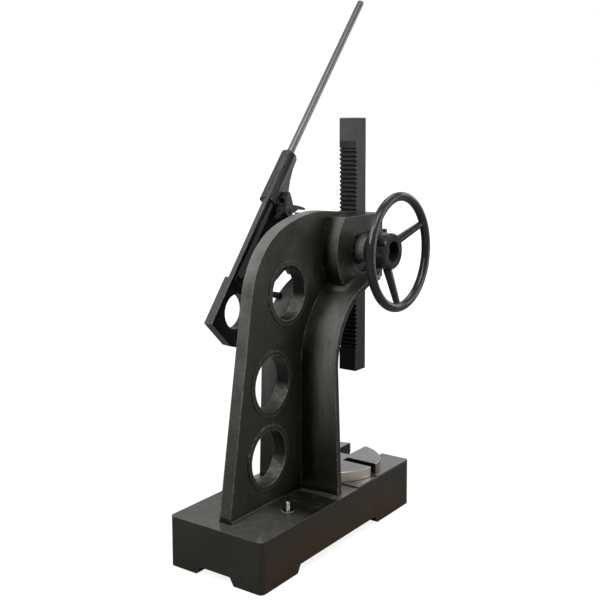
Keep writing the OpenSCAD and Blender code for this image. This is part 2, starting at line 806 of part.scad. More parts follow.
module lever_casting() {
    stop = stop_at();
    pin = on_lever(pawl_at());
    rib_low = -190;
    color([0.08, 0.08, 0.08]) lever_frame() difference() {
        union() {
            slab(lever_out - lever_web_t, lever_out) lever_outline();
            slab(lever_x, lever_out) {
                rear_strip(tail_low, socket_top, 14);
                polygon([[bar_w - 19, socket_top], [bar_w - 22, 146], [128, 115], [117, 92], [104, 76], [94, 66],
                    [bar_w - 17, socket_low + 6], [bar_w - 10, socket_top]]);
                // rib that carries the socket's line down to the tail
                polygon([[bar_w + 9, socket_low], [bar_w - 9, socket_low], [bar_w - 21, rib_low],
                    [bar_w - 3, rib_low]]);
                translate([bar_w - 12, rib_low]) circle(9);
            }
            slab(lever_x, lever_x + tail_t) polygon([[rear_edge(tail_top), tail_top], [rear_edge(tail_low), tail_low],
                [73, tail_low - 7], [45, tail_low + 3], [34, tail_top - 20], [46, tail_top]]);
            translate([bar_x, bar_w, socket_low]) cylinder(d = socket_d, h = socket_top - socket_low);
            rod(lever_hub_x, lever_hub_out, 2 * lever_hub_r);
            rod(pawl_x + pawl_w + 1, lever_out, 34, pin[0], pin[1]);
            // ear on the near side of the pawl, carried by a bridge over it
            slab(ear_x, lever_out) polygon([[112, 54], [126, 62], [141, 70], [bar_w - 17, 50], [124, 47]]);
            slab(ear_x, ear_x + ear_t) {
                translate(pin) circle(14);
                polygon([[112, 54], [126, 62], [141, 70], [bar_w - 17, 50], [124, 22], [98.5, 33]]);
            }
            rod(lever_x, lever_out + 3, 34, stop[0], stop[1]);
        }
        rod(lever_hub_x - 1, lever_hub_out + 1, lever_bush_d);
        translate([bar_x, bar_w, socket_low + 12]) cylinder(d = bar_d + fit, h = socket_top);
        rod(bar_x, bar_x + socket_d, 10 + fit, bar_w, socket_top - 30);
        rod(lever_x - 1, lever_x + tail_t + 1, tail_hole_d, tail_hole[0], tail_hole[1]);
        rod(ear_x - 1, lever_out + 1, pawl_pin_d + fit, pin[0], pin[1]);
        rod(lever_x - 1, lever_out + 4, stop_d + fit, stop[0], stop[1]);
    }
}

module lever_bush() {
    bush(lever_hub_x, lever_hub_out, lever_bush_d, shaft_end_d + 2 * running);
}

module lever_bar() {
    low = socket_low + 12;
    color([0.75, 0.74, 0.72]) lever_frame() translate([bar_x, bar_w, low]) {
        cylinder(d = bar_d, h = bar_tip - low - 2);
        translate([0, 0, bar_tip - low - 2]) cylinder(d1 = bar_d, d2 = bar_d - 4, h = 2);
    }
}

module bar_screw() {
    color([0.2, 0.2, 0.2]) lever_frame() difference() {
        rod(bar_x + bar_d / 2 + fit, bar_x + socket_d / 2 + 1, 10, bar_w, socket_top - 30);
        translate([bar_x + socket_d / 2 - 3, bar_w, socket_top - 30]) rotate([0, 90, 0])
            cylinder(d = 5.8, h = 6, $fn = 6);
    }
}

module stop_pin() {
    stop = stop_at();
    color([0.15, 0.15, 0.15]) lever_frame() rod(stop_x, lever_out + 4, stop_d, stop[0], stop[1]);
}

// ---------- pawl ----------

pawl_pin_d = 14;

module pawl_pin() {
    at = [pin_y, pin_z] + pawl_at();
    color([0.5, 0.5, 0.5]) rod(ear_x - 1, lever_out + 5, pawl_pin_d, at[0], at[1]);
}

module pawl_clip() {
    at = [pin_y, pin_z] + pawl_at();
    color([0.4, 0.4, 0.4]) difference() {
        rod(lever_out + 0.3, lever_out + 2.3, 24, at[0], at[1]);
        rod(lever_out, lever_out + 3, pawl_pin_d + fit, at[0], at[1]);
    }
}

// Y runs from the pin to the tip; Z faces the ratchet wheel
module pawl() {
    at = [pin_y, pin_z] + pawl_at();
    color([0.1, 0.1, 0.1]) translate([0, at[0], at[1]]) rotate([pawl_rest, 0, 0]) difference() {
        union() {
            slab(pawl_x, pawl_x + pawl_w) {
                circle(13.5);
                polygon([[-3, -13], [30, -15.5], [60, -11.5], [pawl_l - 2, -6], [pawl_l, 0], [pawl_l - 18, -4.5],
                    [pawl_l - 30, -3], [34, 6], [8, 11]]);
            }
            // thumb tab for lifting the pawl by hand
            slab(pawl_x + 5, pawl_x + pawl_w - 1) polygon([[2, 11], [-14, 17], [-30, 19], [-31, 13], [-16, 7],
                [-10, -8]]);
        }
        rod(pawl_x - 1, pawl_x + pawl_w + 1, pawl_pin_d + 2 * running);
    }
}

// ---------- table ----------

module table_plate() {
    lift = 0.2;
    chamfer = 1.5;
    r = table_d / 2;
    widths = [slot_right, slot_rear, slot_left, slot_front];
    color([0.62, 0.61, 0.59]) difference() {
        rotate_extrude() polygon([[0, lift - table_t], [r - chamfer, lift - table_t], [r, lift - table_t + chamfer],
            [r, -chamfer], [r - chamfer, 0], [0, 0]]);
        for (k = [0 : 3]) rotate([0, 0, 90 * k]) translate([slot_in, -widths[k] / 2, -table_t - 1])
            cube([r, widths[k], table_t + 2]);
        translate([0, 0, -table_t - 1]) cylinder(d = pin_d + 2 * running, h = table_t + 1 - 7);
    }
}

frame_casting();
ram_cover();
cover_screws();
jack_screws();
jack_nuts();
bush_left();
bush_right();
table_pin();
anchor_studs();
ram();
pinion_shaft();
handwheel();
handwheel_key();
handwheel_washer();
handwheel_bolt();
ratchet_wheel();
ratchet_key();
shaft_washer();
shaft_bolt();
lever_casting();
lever_bush();
lever_bar();
bar_screw();
stop_pin();
pawl_pin();
pawl_clip();
pawl();
table_plate();
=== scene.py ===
"""Looks of the hand ratchet press: finishes, threaded details, floor, light and camera.

Lengths are in metres, angles in degrees and powers in watts.
"""

from __future__ import annotations

import logging
import math
from collections.abc import Mapping, Sequence
from dataclasses import dataclass
from enum import Enum
from typing import Any, Union

import bmesh
import bpy
from mathutils import Matrix, Vector

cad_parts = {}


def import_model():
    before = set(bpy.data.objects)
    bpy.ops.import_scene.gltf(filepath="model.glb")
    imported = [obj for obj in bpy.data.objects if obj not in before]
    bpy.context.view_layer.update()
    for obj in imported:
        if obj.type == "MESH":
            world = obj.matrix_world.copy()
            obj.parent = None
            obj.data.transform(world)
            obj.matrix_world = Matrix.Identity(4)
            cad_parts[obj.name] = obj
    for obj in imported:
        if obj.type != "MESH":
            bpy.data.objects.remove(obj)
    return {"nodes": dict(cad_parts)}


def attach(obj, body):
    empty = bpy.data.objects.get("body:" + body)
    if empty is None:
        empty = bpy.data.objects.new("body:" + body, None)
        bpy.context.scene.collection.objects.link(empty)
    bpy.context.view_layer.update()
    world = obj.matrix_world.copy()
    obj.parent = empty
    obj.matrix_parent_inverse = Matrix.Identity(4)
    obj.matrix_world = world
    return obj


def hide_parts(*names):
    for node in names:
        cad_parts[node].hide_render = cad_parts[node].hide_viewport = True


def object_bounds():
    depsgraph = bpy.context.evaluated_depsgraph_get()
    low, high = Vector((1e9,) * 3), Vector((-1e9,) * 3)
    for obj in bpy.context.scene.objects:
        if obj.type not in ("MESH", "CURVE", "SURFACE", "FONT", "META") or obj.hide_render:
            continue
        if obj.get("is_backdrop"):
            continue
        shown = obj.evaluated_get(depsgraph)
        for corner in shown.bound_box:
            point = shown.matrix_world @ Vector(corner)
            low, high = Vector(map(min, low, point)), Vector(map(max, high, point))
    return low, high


LOG = logging.getLogger("press")
Colour = tuple[float, float, float]
Value = Union["Wire", float, Sequence[float]]
Finishes = tuple[tuple[str, "Finish"], ...]
PINION_AXIS = (-0.04276, 0.544)  # Y and Z
PRESS_MIDDLE = (0.0, 0.1, 0.45)  # what the lamps look at
LEVER_TILT = 39.4  # how far the lever leans back at rest
WELD = 1e-6  # how near two corners are to be one
SMOOTH_ANGLE = 35.0  # up to which two faces shade as one


class Body(Enum):
    """The moving bodies of the press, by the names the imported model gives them."""

    FRAME = "frame"
    RAM = "ram"
    PINION = "pinion"
    LEVER = "lever"
    PAWL = "pawl"
    TABLE = "table"


class Axis(Enum):
    """The direction in which a machining or drawing mark runs."""

    X = (1.0, 0.0, 0.0)
    Z = (0.0, 0.0, 1.0)


def grey(level: float) -> Colour:
    """The neutral tone of that level."""
    return (level, level, level)


# ---------- shader sums ----------


class Wire:
    """A shader socket that takes part in Python sums."""

    def __init__(self, tree: ShaderTree, socket: bpy.types.NodeSocket) -> None:
        """Keeps the tree and the socket that the sums are made on."""
        self.tree = tree
        self.socket = socket

    def __add__(self, other: Value) -> Wire:
        """The sum of two values."""
        return self.tree.math("ADD", self, other)

    def __sub__(self, other: Value) -> Wire:
        """This value less the other."""
        return self.tree.math("SUBTRACT", self, other)

    def __rsub__(self, other: Value) -> Wire:
        """The other value less this one."""
        return self.tree.math("SUBTRACT", other, self)

    def __mul__(self, other: Value) -> Wire:
        """The product of two values."""
        return self.tree.math("MULTIPLY", self, other)

    def __pow__(self, other: Value) -> Wire:
        """This value to the power of the other."""
        return self.tree.math("POWER", self, other)

    def __abs__(self) -> Wire:
        """This value without its sign."""
        return self.tree.math("ABSOLUTE", self)

    __radd__ = __add__
    __rmul__ = __mul__

    def most(self, other: Value) -> Wire:
        """The larger of two values."""
        return self.tree.math("MAXIMUM", self, other)

    def ease(self, low: float, high: float) -> Wire:
        """A soft step from 0 to 1.

        Args:
            low: the value that gives 0.
            high: the value that gives 1, which may be the lower of the two.

        Returns:
            The step.
        """
        if high < low:
            return 1 - self.ease(high, low)
        return self.tree.add(
            "MapRange",
            {"interpolation_type": "SMOOTHSTEP"},
            {"Value": self, "From Min": low, "From Max": high},
        )


def length(one: Wire, other: Wire) -> Wire:
    """The length of a flat vector with those two parts."""
    return (one * one + other * other) ** 0.5


@dataclass(frozen=True)
class Point:
    """The shaded point, in the object's own frame.

    Attributes:
        x: its place to the right.
        y: its place backwards.
        z: its height.
        across: how much its surface faces to the right, from -1 to 1.
        back: how much it faces backwards, from -1 to 1.
        up: how much it faces upwards, from -1 to 1.
    """

    x: Wire
    y: Wire
    z: Wire
    across: Wire
    back: Wire
    up: Wire


@dataclass(frozen=True)
class Noise:
    """A noise pattern on Object coordinates.

    Attributes:
        scale: how many features there are in a metre.
        detail: how many finer layers are added.
        roughness: how strong the finer layers are.
        shift: moves the pattern, so that two noises differ.
        span: values that become 0 and 1. Without it the noise is mostly 0.3 to 0.7.
        stretch: scale along each axis, where a small number draws the noise out.
        lean: turns the axes about X first.
    """

    scale: float
    detail: float = 2.0
    roughness: float = 0.5
    shift: float = 0.0
    span: tuple[float, float] | None = None
    stretch: Sequence[float] = (1.0, 1.0, 1.0)
    lean: float = 0.0


class ShaderTree:
    """Adds nodes to one shader tree."""

    def __init__(self, tree: bpy.types.NodeTree) -> None:
        """Empties the tree, so that only what is added here is in it."""
        self.tree = tree
        self.tree.nodes.clear()

    @staticmethod
    def _find(sockets: Any, key: str | int) -> bpy.types.NodeSocket:
        """The socket with that place, identifier or name."""
        found = [socket for socket in sockets if socket.identifier == key]
        return found[0] if found else sockets[key]

    def add(
        self,
        kind: str,
        settings: Mapping[str, Any] | None = None,
        inputs: Mapping[str | int, Value] | None = None,
        output: str | int = 0,
    ) -> Wire:
        """Adds one node.

        Args:
            kind: the node's type, as Blender names it after ShaderNode.
            settings: the node's own settings, set first.
            inputs: what goes into its sockets, by name, identifier or place: a Wire is
                linked, and anything else is set as the socket's value.
            output: the socket that the answer stands for.

        Returns:
            The chosen output.
        """
        node = self.tree.nodes.new("ShaderNode" + kind)
        for key, value in (settings or {}).items():
            setattr(node, key, value)
        for key, value in (inputs or {}).items():
            socket = self._find(node.inputs, key)
            if isinstance(value, Wire):
                self.tree.links.new(value.socket, socket)
            elif isinstance(value, (int, float)):
                socket.default_value = value
            else:
                wide = len(socket.default_value) == 4 and len(value) == 3
                socket.default_value = (*value, 1.0) if wide else tuple(value)
        return Wire(self, self._find(node.outputs, output))

    def math(self, operation: str, *values: Value) -> Wire:
        """A Math node on one or two values."""
        return self.add("Math", {"operation": operation}, dict(enumerate(values)))

    def vector(self, operation: str, *values: Value) -> Wire:
        """A Vector Math node that makes one number of its vectors."""
        return self.add("VectorMath", {"operation": operation}, dict(enumerate(values)), "Value")

    def _mix(self, kind: str, sort: str, factor: Value, low: Value, high: Value) -> Wire:
        """A Mix node on one sort of value."""
        inputs = {"Factor_Float": factor, f"A_{sort}": low, f"B_{sort}": high}
        return self.add("Mix", {"data_type": kind, "clamp_factor": True}, inputs, f"Result_{sort}")

    def mix(self, factor: Value, low: Value, high: Value) -> Wire:
        """Mixes two colours: factor 0 gives low and 1 gives high."""
        return self._mix("RGBA", "Color", factor, low, high)

    def blend(self, factor: Value, low: Value, high: Value) -> Wire:
        """Mixes two numbers: factor 0 gives low and 1 gives high."""
        return self._mix("FLOAT", "Float", factor, low, high)

    def place(self) -> Wire:
        """Object coordinates."""
        return self.add("TexCoord", output="Object")

    def split(self, vector: Wire) -> tuple[Wire, Wire, Wire]:
        """The X, Y and Z of a vector."""
        node = self.add("SeparateXYZ", inputs={0: vector}).socket.node
        return tuple(Wire(self, output) for output in node.outputs)

    def point(self) -> Point:
        """The place and the direction of the surface at the shaded point."""
        facing = self.add("TexCoord", output="Normal")
        return Point(*self.split(self.place()), *self.split(facing))

    def noise(self, kind: Noise) -> Wire:
        """The value of a noise pattern.

        Args:
            kind: the pattern.

        Returns:
            The value, from 0 to 1 over the span of a pattern that has one.
        """
        place = self.place()
        if kind.lean:
            turn = (math.radians(kind.lean), 0.0, 0.0)
            place = self.add("Mapping", inputs={"Vector": place, "Rotation": turn})
        moved = {"Vector": place, "Location": (kind.shift,) * 3, "Scale": kind.stretch}
        layers = {"Scale": kind.scale, "Detail": kind.detail, "Roughness": kind.roughness}
        value = self.add("TexNoise", inputs={"Vector": self.add("Mapping", inputs=moved), **layers})
        return value.ease(*kind.span) if kind.span else value

    def specks(self, scale: float, size: float, shift: float = 0.0) -> Wire:
        """Small scattered dots.

        Args:
            scale: how many cells there are in a metre.
            size: a dot's radius, as a share of a cell.
            shift: moves the pattern.

        Returns:
            1 in a dot and 0 between the dots.
        """
        moved = {"Vector": self.place(), "Location": (shift,) * 3}
        cells = {"Vector": self.add("Mapping", inputs=moved), "Scale": scale}
        cell = self.add("TexVoronoi", inputs=cells, output="Distance")
        groups = Noise(scale * 0.35, 1.0, shift=shift, span=(0.5, 0.62))
        return cell.ease(size, size * 0.6) * self.noise(groups)

    def rounded(self, radius: float) -> Wire:
        """The surface's direction with its edges rounded to that radius."""
        return self.add("Bevel", {"samples": 4}, {"Radius": radius})

    def open_sky(self, distance: float) -> Wire:
        """1 in the open, and less in a corner or a crevice no wider than distance."""
        settings = {"samples": 6, "only_local": True}
        return self.add("AmbientOcclusion", settings, {"Distance": distance}, "AO")

    def edges(self, radius: float) -> tuple[Wire, Wire]:
        """Finds sharp edges.

        Args:
            radius: how far an edge reaches over the faces beside it.

        Returns:
            1 along outer edges, and 1 along inner creases.
        """
        flat = self.add("NewGeometry", output="Normal")
        turn = 1 - self.vector("DOT_PRODUCT", self.rounded(radius), flat)
        turn, outer = turn.ease(0.01, 0.14), self.open_sky(radius * 1.5).ease(0.75, 0.97)
        return turn * outer, turn * (1 - outer)

    def bump(self, height: Wire, depth: float, normal: Wire) -> Wire:
        """The surface direction with a relief added, in which 1 stands that deep."""
        inputs = {"Height": height, "Distance": depth, "Strength": 1.0, "Normal": normal}
        return self.add("Bump", inputs=inputs)

    def surface(
        self, colour: Wire, roughness: Wire, normal: Wire, metallic: Value = 0.0, sheen: float = 0.5
    ) -> None:
        """Ends the tree in a Principled shader.

        Args:
            colour: its base colour.
            roughness: its roughness.
            normal: the surface's direction.
            metallic: how metallic it is.
            sheen: how strongly it mirrors, 0.5 being plain.
        """
        inputs = {
            "Base Color": colour,
            "Metallic": metallic,
            "Roughness": roughness,
            "Specular IOR Level": sheen,
            "Normal": normal,
        }
        self.end("OutputMaterial", self.add("BsdfPrincipled", inputs=inputs))

    def end(self, kind: str, shader: Wire) -> None:
        """Ends the tree in an output node of that kind."""
        node = self.tree.nodes.new("ShaderNode" + kind)
        self.tree.links.new(shader.socket, node.inputs["Surface"])


# ---------- noise patterns ----------

# Paint and the casting under it
CLOUDS = Noise(5.5, 4.0, 0.6, span=(0.36, 0.64))
FLECKS = Noise(70.0, 3.0, 0.6, 3.0, (0.42, 0.7))
COARSE_SAND = Noise(160.0, 3.0, 0.55)
FINE_SAND = Noise(620.0, 2.0, 0.5, 7.0)
MOULD_WAVES = Noise(22.0, 2.0, 0.5, 1.0)
PAINT_GLOSS = Noise(30.0, 3.0, 0.5, 2.0, (0.35, 0.65))
RAGGED_EDGE = Noise(110.0, 4.0, 0.7, 5.0, (0.44, 0.58))
PATCHY_EDGE = Noise(9.0, 2.0, 0.5, 8.0, (0.4, 0.56))
RAGGED_SEAM = Noise(130.0, 3.0, 0.7, 11.0, (0.46, 0.56))
BROKEN_SEAM = Noise(26.0, 3.0, 0.6, 19.0, (0.5, 0.62))
# Wear and dirt on the frame, and the mottling of its painted light and shade
STREAKS = Noise(40.0, 4.0, 0.65, 15.0, (0.3, 0.7), (1.0, 1.0, 0.12))
HEAD_LIGHT_MOTTLE = Noise(38.0, 5.0, 0.7, 21.0, (0.36, 0.66))
HOLE_LIGHT_MOTTLE = Noise(75.0, 5.0, 0.75, 17.0, (0.38, 0.64))
MOTTLE = Noise(60.0, 5.0, 0.7, 13.0, (0.4, 0.66))
FINE_RIM_MOTTLE = Noise(240.0, 4.0, 0.7, 25.0, (0.4, 0.62))
WIDE_RIM_MOTTLE = Noise(11.0, 3.0, 0.6, 27.0, (0.36, 0.64))
RUST_CLOUDS = Noise(6.0, 3.0, 0.5, 9.0, (0.3, 0.62))
EARTH = Noise(14.0, 4.0, 0.65, 23.0, (0.5, 0.68))
PAD_STAINS = Noise(45.0, 4.0, 0.62, 4.0, (0.52, 0.74))
PAD_SWIRL = Noise(420.0, 2.0, 0.5, stretch=(1.0, 0.06, 1.0))
# Metal
METAL_STAINS = Noise(28.0, 4.0, 0.62, 2.0, (0.44, 0.72))
TABLE_STAINS = Noise(34.0, 4.0, 0.62, 2.0, (0.46, 0.74))
METAL_CHIPS = Noise(140.0, 3.0, 0.6, 6.0, (0.36, 0.6))
TABLE_CHIPS = Noise(150.0, 3.0, 0.6, 6.0, (0.36, 0.6))
RAM_CHIPS = Noise(140.0, 3.0, 0.6, 6.0, (0.32, 0.6))


# ---------- finishes ----------


@dataclass
class Coat:
    """Tones laid over one another.

    Attributes:
        tree: tree that they are mixed in.
        at: shaded point.
        colour: colour so far.
    """

    tree: ShaderTree
    at: Point
    colour: Wire

    def lay(self, mask: Wire, tone: Value) -> None:
        """Lays a tone over the colour, wholly where the mask is 1."""
        self.colour = self.tree.mix(mask, self.colour, tone)


@dataclass(frozen=True)
class Finish:
    """A finish that pieces are dressed in.

    Attributes:
        name: what the material is called.
    """

    name: str

    def material(self) -> bpy.types.Material:
        """Makes the material when it is first asked for.

        Returns:
            The material.
        """
        found = bpy.data.materials.get(self.name)
        if found is None:
            found = bpy.data.materials.new(self.name)
            found.use_nodes = True
            self.wire(ShaderTree(found.node_tree))
        return found

    def wire(self, tree: ShaderTree) -> None:
        """Wires the finish into an empty tree."""
        raise NotImplementedError


@dataclass(frozen=True)
class CastPaint(Finish):
    """Enamel over a fettled sand casting: mottled, slightly pitted, worn along its edges.

    Attributes:
        dark: deeper of the two paint tones.
        light: paler of the two paint tones.
        worn: tone of rubbed edges and chips.
        hollow_shade: tone of the painted shade in hollows and creases.
        gloss: roughness of the paint, between two values.
        worn_gloss: roughness where the paint is rubbed thin.
        grain: depth of the sand grain under the paint.
        wear: how much of an edge is rubbed, from 0 to 1.
        seams: how much pale filler shows along an inner crease, from 0 to 1.
        line: how wide a rubbed edge is.
        depth: how dark the painted shade in the hollows is, from 0 to 1.
        nook: how wide the creases are that get painted shade.
        sheen: how strongly the paint mirrors, 0.5 being plain enamel.
    """

    dark: Colour = (0.0190, 0.0195, 0.0125)
    light: Colour = (0.0300, 0.0305, 0.0215)
    worn: Colour = (0.30, 0.30, 0.285)
    hollow_shade: Colour = (0.0035, 0.0032, 0.0028)
    gloss: tuple[float, float] = (0.28, 0.38)
    worn_gloss: float = 0.42
    grain: float = 0.0003
    wear: float = 0.8
    seams: float = 0.0
    line: float = 0.0060
    depth: float = 0.7
    nook: float = 0.008
    sheen: float = 0.5

    def colour(self, tree: ShaderTree) -> Wire:
        """The paint before wear, mottled, with painted shade in its hollows and creases.

        Args:
            tree: what it is wired in.

        Returns:
            Its colour.
        """
        mottling = tree.noise(CLOUDS) * 0.7 + tree.noise(FLECKS) * 0.3
        base = tree.mix(mottling, self.dark, self.light)
        # Painted shade: darker in hollows that don't face up, and in narrow creases.
        hollow = tree.open_sky(0.08).ease(0.85, 0.35) * tree.point().up.ease(0.7, 0.0)
        crease = tree.open_sky(self.nook).ease(0.8, 0.4)
        return tree.mix((hollow * self.depth).most(crease * 0.85), base, self.hollow_shade)

    def relief(self, tree: ShaderTree, grainy: Value = 1.0) -> Wire:
        """The grain of the sand mould.

        Args:
            tree: what it is wired in.
            grainy: 1 where there is grain.

        Returns:
            The surface's direction, with rounded edges.
        """
        wave = tree.bump(tree.noise(MOULD_WAVES), 0.0016, tree.rounded(0.0012))
        grain = tree.noise(COARSE_SAND) * 0.7 + tree.noise(FINE_SAND) * 0.3
        return tree.bump(grain * grainy, self.grain, wave)

    def rubbed(self, tree: ShaderTree) -> Wire:
        """Finds where the paint is rubbed thin, along edges and seams and in chips.

        Args:
            tree: what it is wired in.

        Returns:
            1 where it is rubbed through.
        """
        edge, crease = tree.edges(self.line)
        seam = crease * tree.noise(RAGGED_SEAM) * tree.noise(BROKEN_SEAM)
        edge = edge * (tree.noise(PATCHY_EDGE) * 0.5 + 0.5)
        edge = edge * (tree.noise(RAGGED_EDGE) * 0.7 + 0.3)
        lines = edge * self.wear + seam * self.seams
        return lines + tree.specks(75.0, 0.13) * 0.3

    def roughness(self, tree: ShaderTree, rubbed: Wire) -> Wire:
        """The roughness of the paint, with the rubbed places duller."""
        gloss = tree.blend(tree.noise(PAINT_GLOSS), *self.gloss)
        return tree.blend(rubbed, gloss, self.worn_gloss)

    def wire(self, tree: ShaderTree) -> None:
        """Wires paint, grain and wear together.

        Args:
            tree: what it is wired in.
        """
        rubbed = self.rubbed(tree)
        painted = tree.mix(rubbed, self.colour(tree), self.worn)
        tree.surface(painted, self.roughness(tree, rubbed), self.relief(tree), sheen=self.sheen)


@dataclass(frozen=True)
class FramePaint(CastPaint):
    """The frame's paint: rubbed in places, with painted light and shade, its machined pad left
    bare.

    Attributes:
        studs: CAD node of the anchor studs.
        deck: height of the base's top.
        pad_rear: how far back the machined pad runs.
        foot: height of the floor.
        web: half the thickness of the web.
        wall: half the width of the throat wall's foot.
        boss: radius of the boss around the shaft.
        drum: radius of the drum behind it.
        holes: Y and Z of the lightening holes' centres.
        hole: radius of a lightening hole.
        recess: radius of the recess around a stud.
        chip: radius of the bare ring around a stud.
        chip_shift: how far that ring lies off the stud.
        bare: tone of the pad.
        oil: tone of its stains.
        pits: tone of its pits.
        rust: tone of the paint near the floor.
        earth: tone of the dried dirt on the deck.
        painted_light: tone of the painted light on rims, curves, hole walls and the deck's rear
            end.
        boss_light: tone of the painted light on the boss beside the handwheel.
        shade: tone of the painted shade.
    """

    sheen: float = 0.32
    dark: Colour = (0.0175, 0.0180, 0.0118)
    light: Colour = (0.0275, 0.0280, 0.0198)
    seams: float = 0.5
    studs: str = "anchor_studs"
    deck: float = -0.029
    pad_rear: float = 0.184
    foot: float = -0.146
    web: float = 0.016
    wall: float = 0.120
    boss: float = 0.060
    drum: float = 0.140
    holes: tuple[tuple[float, float], ...] = ((0.302, 0.086), (0.287, 0.259), (0.220, 0.464))
    hole: float = 0.065
    recess: float = 0.0138
    chip: float = 0.0150
    chip_shift: tuple[float, float] = (-0.0025, 0.0040)
    bare: Colour = (0.30, 0.295, 0.285)
    oil: Colour = (0.16, 0.14, 0.115)
    pits: Colour = (0.05, 0.045, 0.04)
    rust: Colour = (0.042, 0.0235, 0.0075)
    earth: Colour = (0.060, 0.052, 0.040)
    painted_light: Colour = (0.15, 0.15, 0.142)
    boss_light: Colour = (0.19, 0.19, 0.18)
    shade: Colour = (0.0015, 0.0015, 0.0012)

    def top(self, at: Point) -> tuple[Wire, Wire]:
        """Finds the base's top.

        Args:
            at: the shaded point.

        Returns:
            1 on its machined pad, and 1 on the painted deck behind it.
        """
        flat = at.up.ease(0.85, 0.97) * at.z.ease(self.deck + 0.006, self.deck + 0.004)
        pad = flat * at.y.ease(self.pad_rear + 0.001, self.pad_rear)
        pad = pad * at.z.ease(self.deck - 0.0015, self.deck - 0.0010)
        return pad, flat * (1 - pad)

    def base(self, at: Point) -> Wire:
        """1 on all of the base up to its top."""
        return at.z.ease(self.deck + 0.003, self.deck + 0.001)

    def from_holes(self, at: Point) -> list[Wire]:
        """How far the shaded point is from the axis of each lightening hole."""
        return [length(at.y - hole_y, at.z - hole_z) for hole_y, hole_z in self.holes]

    def paint_rim_light(self, coat: Coat) -> None:
        """Paints light on the web's rear edge, mottled and brighter the higher it is.

        Args:
            coat: the paint so far.
        """
        at, noise = coat.at, coat.tree.noise
        rim = abs(at.x).ease(self.web + 0.0006, self.web + 0.0002)
        rim = rim * at.back.ease(-0.05, 0.12) * at.z.ease(-0.027, -0.02)
        rim = rim * abs(at.across).ease(0.6, 0.3) * at.y.ease(0.075, 0.095)
        for gap in self.from_holes(at):
            rim = rim * gap.ease(self.hole + 0.002, self.hole + 0.006)
        high = at.z.ease(0.02, 0.62) * 0.75 + 0.25 + at.z.ease(0.56, 0.64) * 0.35
        spread = noise(WIDE_RIM_MOTTLE) * 0.35 + noise(FINE_RIM_MOTTLE) * 0.25 + noise(MOTTLE) * 0.15 + 0.4
        # Painted light on the web's rear edge, brighter higher up.
        coat.lay(rim * spread * high, self.painted_light)

    def paint_wall_light_and_shade(self, coat: Coat) -> None:
        """Paints shade on the throat wall's back beside the web, and light where it curves over.

        Args:
            coat: the paint so far.
        """
        at, aside = coat.at, abs(coat.at.x)
        wall = at.back.ease(0.3, 0.6) * aside.ease(self.web, self.web + 0.001)
        wall = wall * at.z.ease(-0.02, 0.01) * at.y.ease(0.02, 0.05)
        streaks = coat.tree.noise(STREAKS)
        near_web_shade = aside.ease(0.062, 0.030) + at.z.ease(0.24, 0.02) * 0.55
        # Painted shade on the wall's back beside the web, darker low down.
        coat.lay(wall * near_web_shade * (streaks * 0.25 + 0.75), self.shade)
        curve_light = aside.ease(0.042, 0.080) * at.z.ease(0.05, 0.33) * at.z.ease(0.47, 0.40)
        # Painted light on the wall's back away from the web, at mid height where it curves.
        coat.lay(wall * curve_light * (streaks * 0.5 + 0.45), self.painted_light)

    def paint_head_light(self, coat: Coat) -> None:
        """Paints light on the drum and on the left boss.

        Args:
            coat: the paint so far.
        """
        at, aside = coat.at, abs(coat.at.x)
        gap = length(at.y - PINION_AXIS[0], at.z - PINION_AXIS[1])
        pale = coat.tree.noise(HEAD_LIGHT_MOTTLE)
        boss = gap.ease(self.boss, self.boss - 0.003) * at.x.ease(-0.060, -0.062)
        # Painted light on the left boss.
        coat.lay(boss * abs(at.across).ease(0.8, 0.4) * (pale * 0.4 + 0.6), self.boss_light)
        drum = gap.ease(self.drum + 0.010, self.drum) * gap.ease(self.boss, self.boss + 0.010)
        drum = drum * aside.ease(0.030, 0.055) * at.back.ease(0.05, 0.5)
        drum = drum * aside.ease(0.085, 0.066) * at.up.ease(-0.5, 0.3)
        # Painted light on the drum where it faces back and up.
        coat.lay(drum * (pale * 0.3 + 0.4), self.painted_light)

    def paint_hole_light_and_shade(self, coat: Coat) -> None:
        """Paints shade on the walls of the lightening holes above, and light on them below.

        Args:
            coat: the paint so far.
        """
        at, pale = coat.at, coat.tree.noise(HOLE_LIGHT_MOTTLE)
        for gap in self.from_holes(at):
            wall = abs(at.across).ease(0.6, 0.3) * gap.ease(self.hole + 0.003, self.hole + 0.001)
            low = wall * at.up.ease(0.16, 0.46) * at.back.ease(0.1, 0.75)
            # Painted shade on hole walls that face down; painted light on low walls that face up
            # and back.
            coat.lay(wall * at.up.ease(0.36, 0.06) * 0.9, self.shade)
            coat.lay(low * (pale * 0.7 + 0.12), self.painted_light)

    def rust_base(self, coat: Coat) -> None:
        """Rusts the base's long sides, more so towards the floor.

        Args:
            coat: the paint so far.
        """
        at = coat.at
        side = at.z.ease(self.deck, self.deck - 0.01) * abs(at.across).ease(0.5, 0.9)
        rusty = side * (at.z.ease(0.0, self.foot) * 0.6 + 0.4)
        coat.lay(rusty * (coat.tree.noise(RUST_CLOUDS) * 0.7 + 0.3), self.rust)

    def paint_deck_light_shade_and_dirt(self, coat: Coat) -> None:
        """Paints shade low on the web and wall and on the deck near the wall, and light on its rear
        end, and adds dried dirt.

        Args:
            coat: the paint so far.
        """
        at, noise = coat.at, coat.tree.noise
        _, deck = self.top(at)
        near = at.y.ease(0.36, 0.27)
        fillet_shade = at.z.ease(self.deck + 0.014, self.deck + 0.010) * (1 - self.base(at))
        # Painted shade on the faces just above the deck, and on the deck near the wall.
        coat.lay(fillet_shade * 0.8, self.shade)
        coat.lay(deck * near * 0.55, self.shade)
        # Painted light on the deck's rear end.
        coat.lay(deck * (1 - near) * (noise(MOTTLE) * 0.15 + 0.3), self.painted_light)
        coat.lay(deck * noise(EARTH) * 0.5, self.earth)

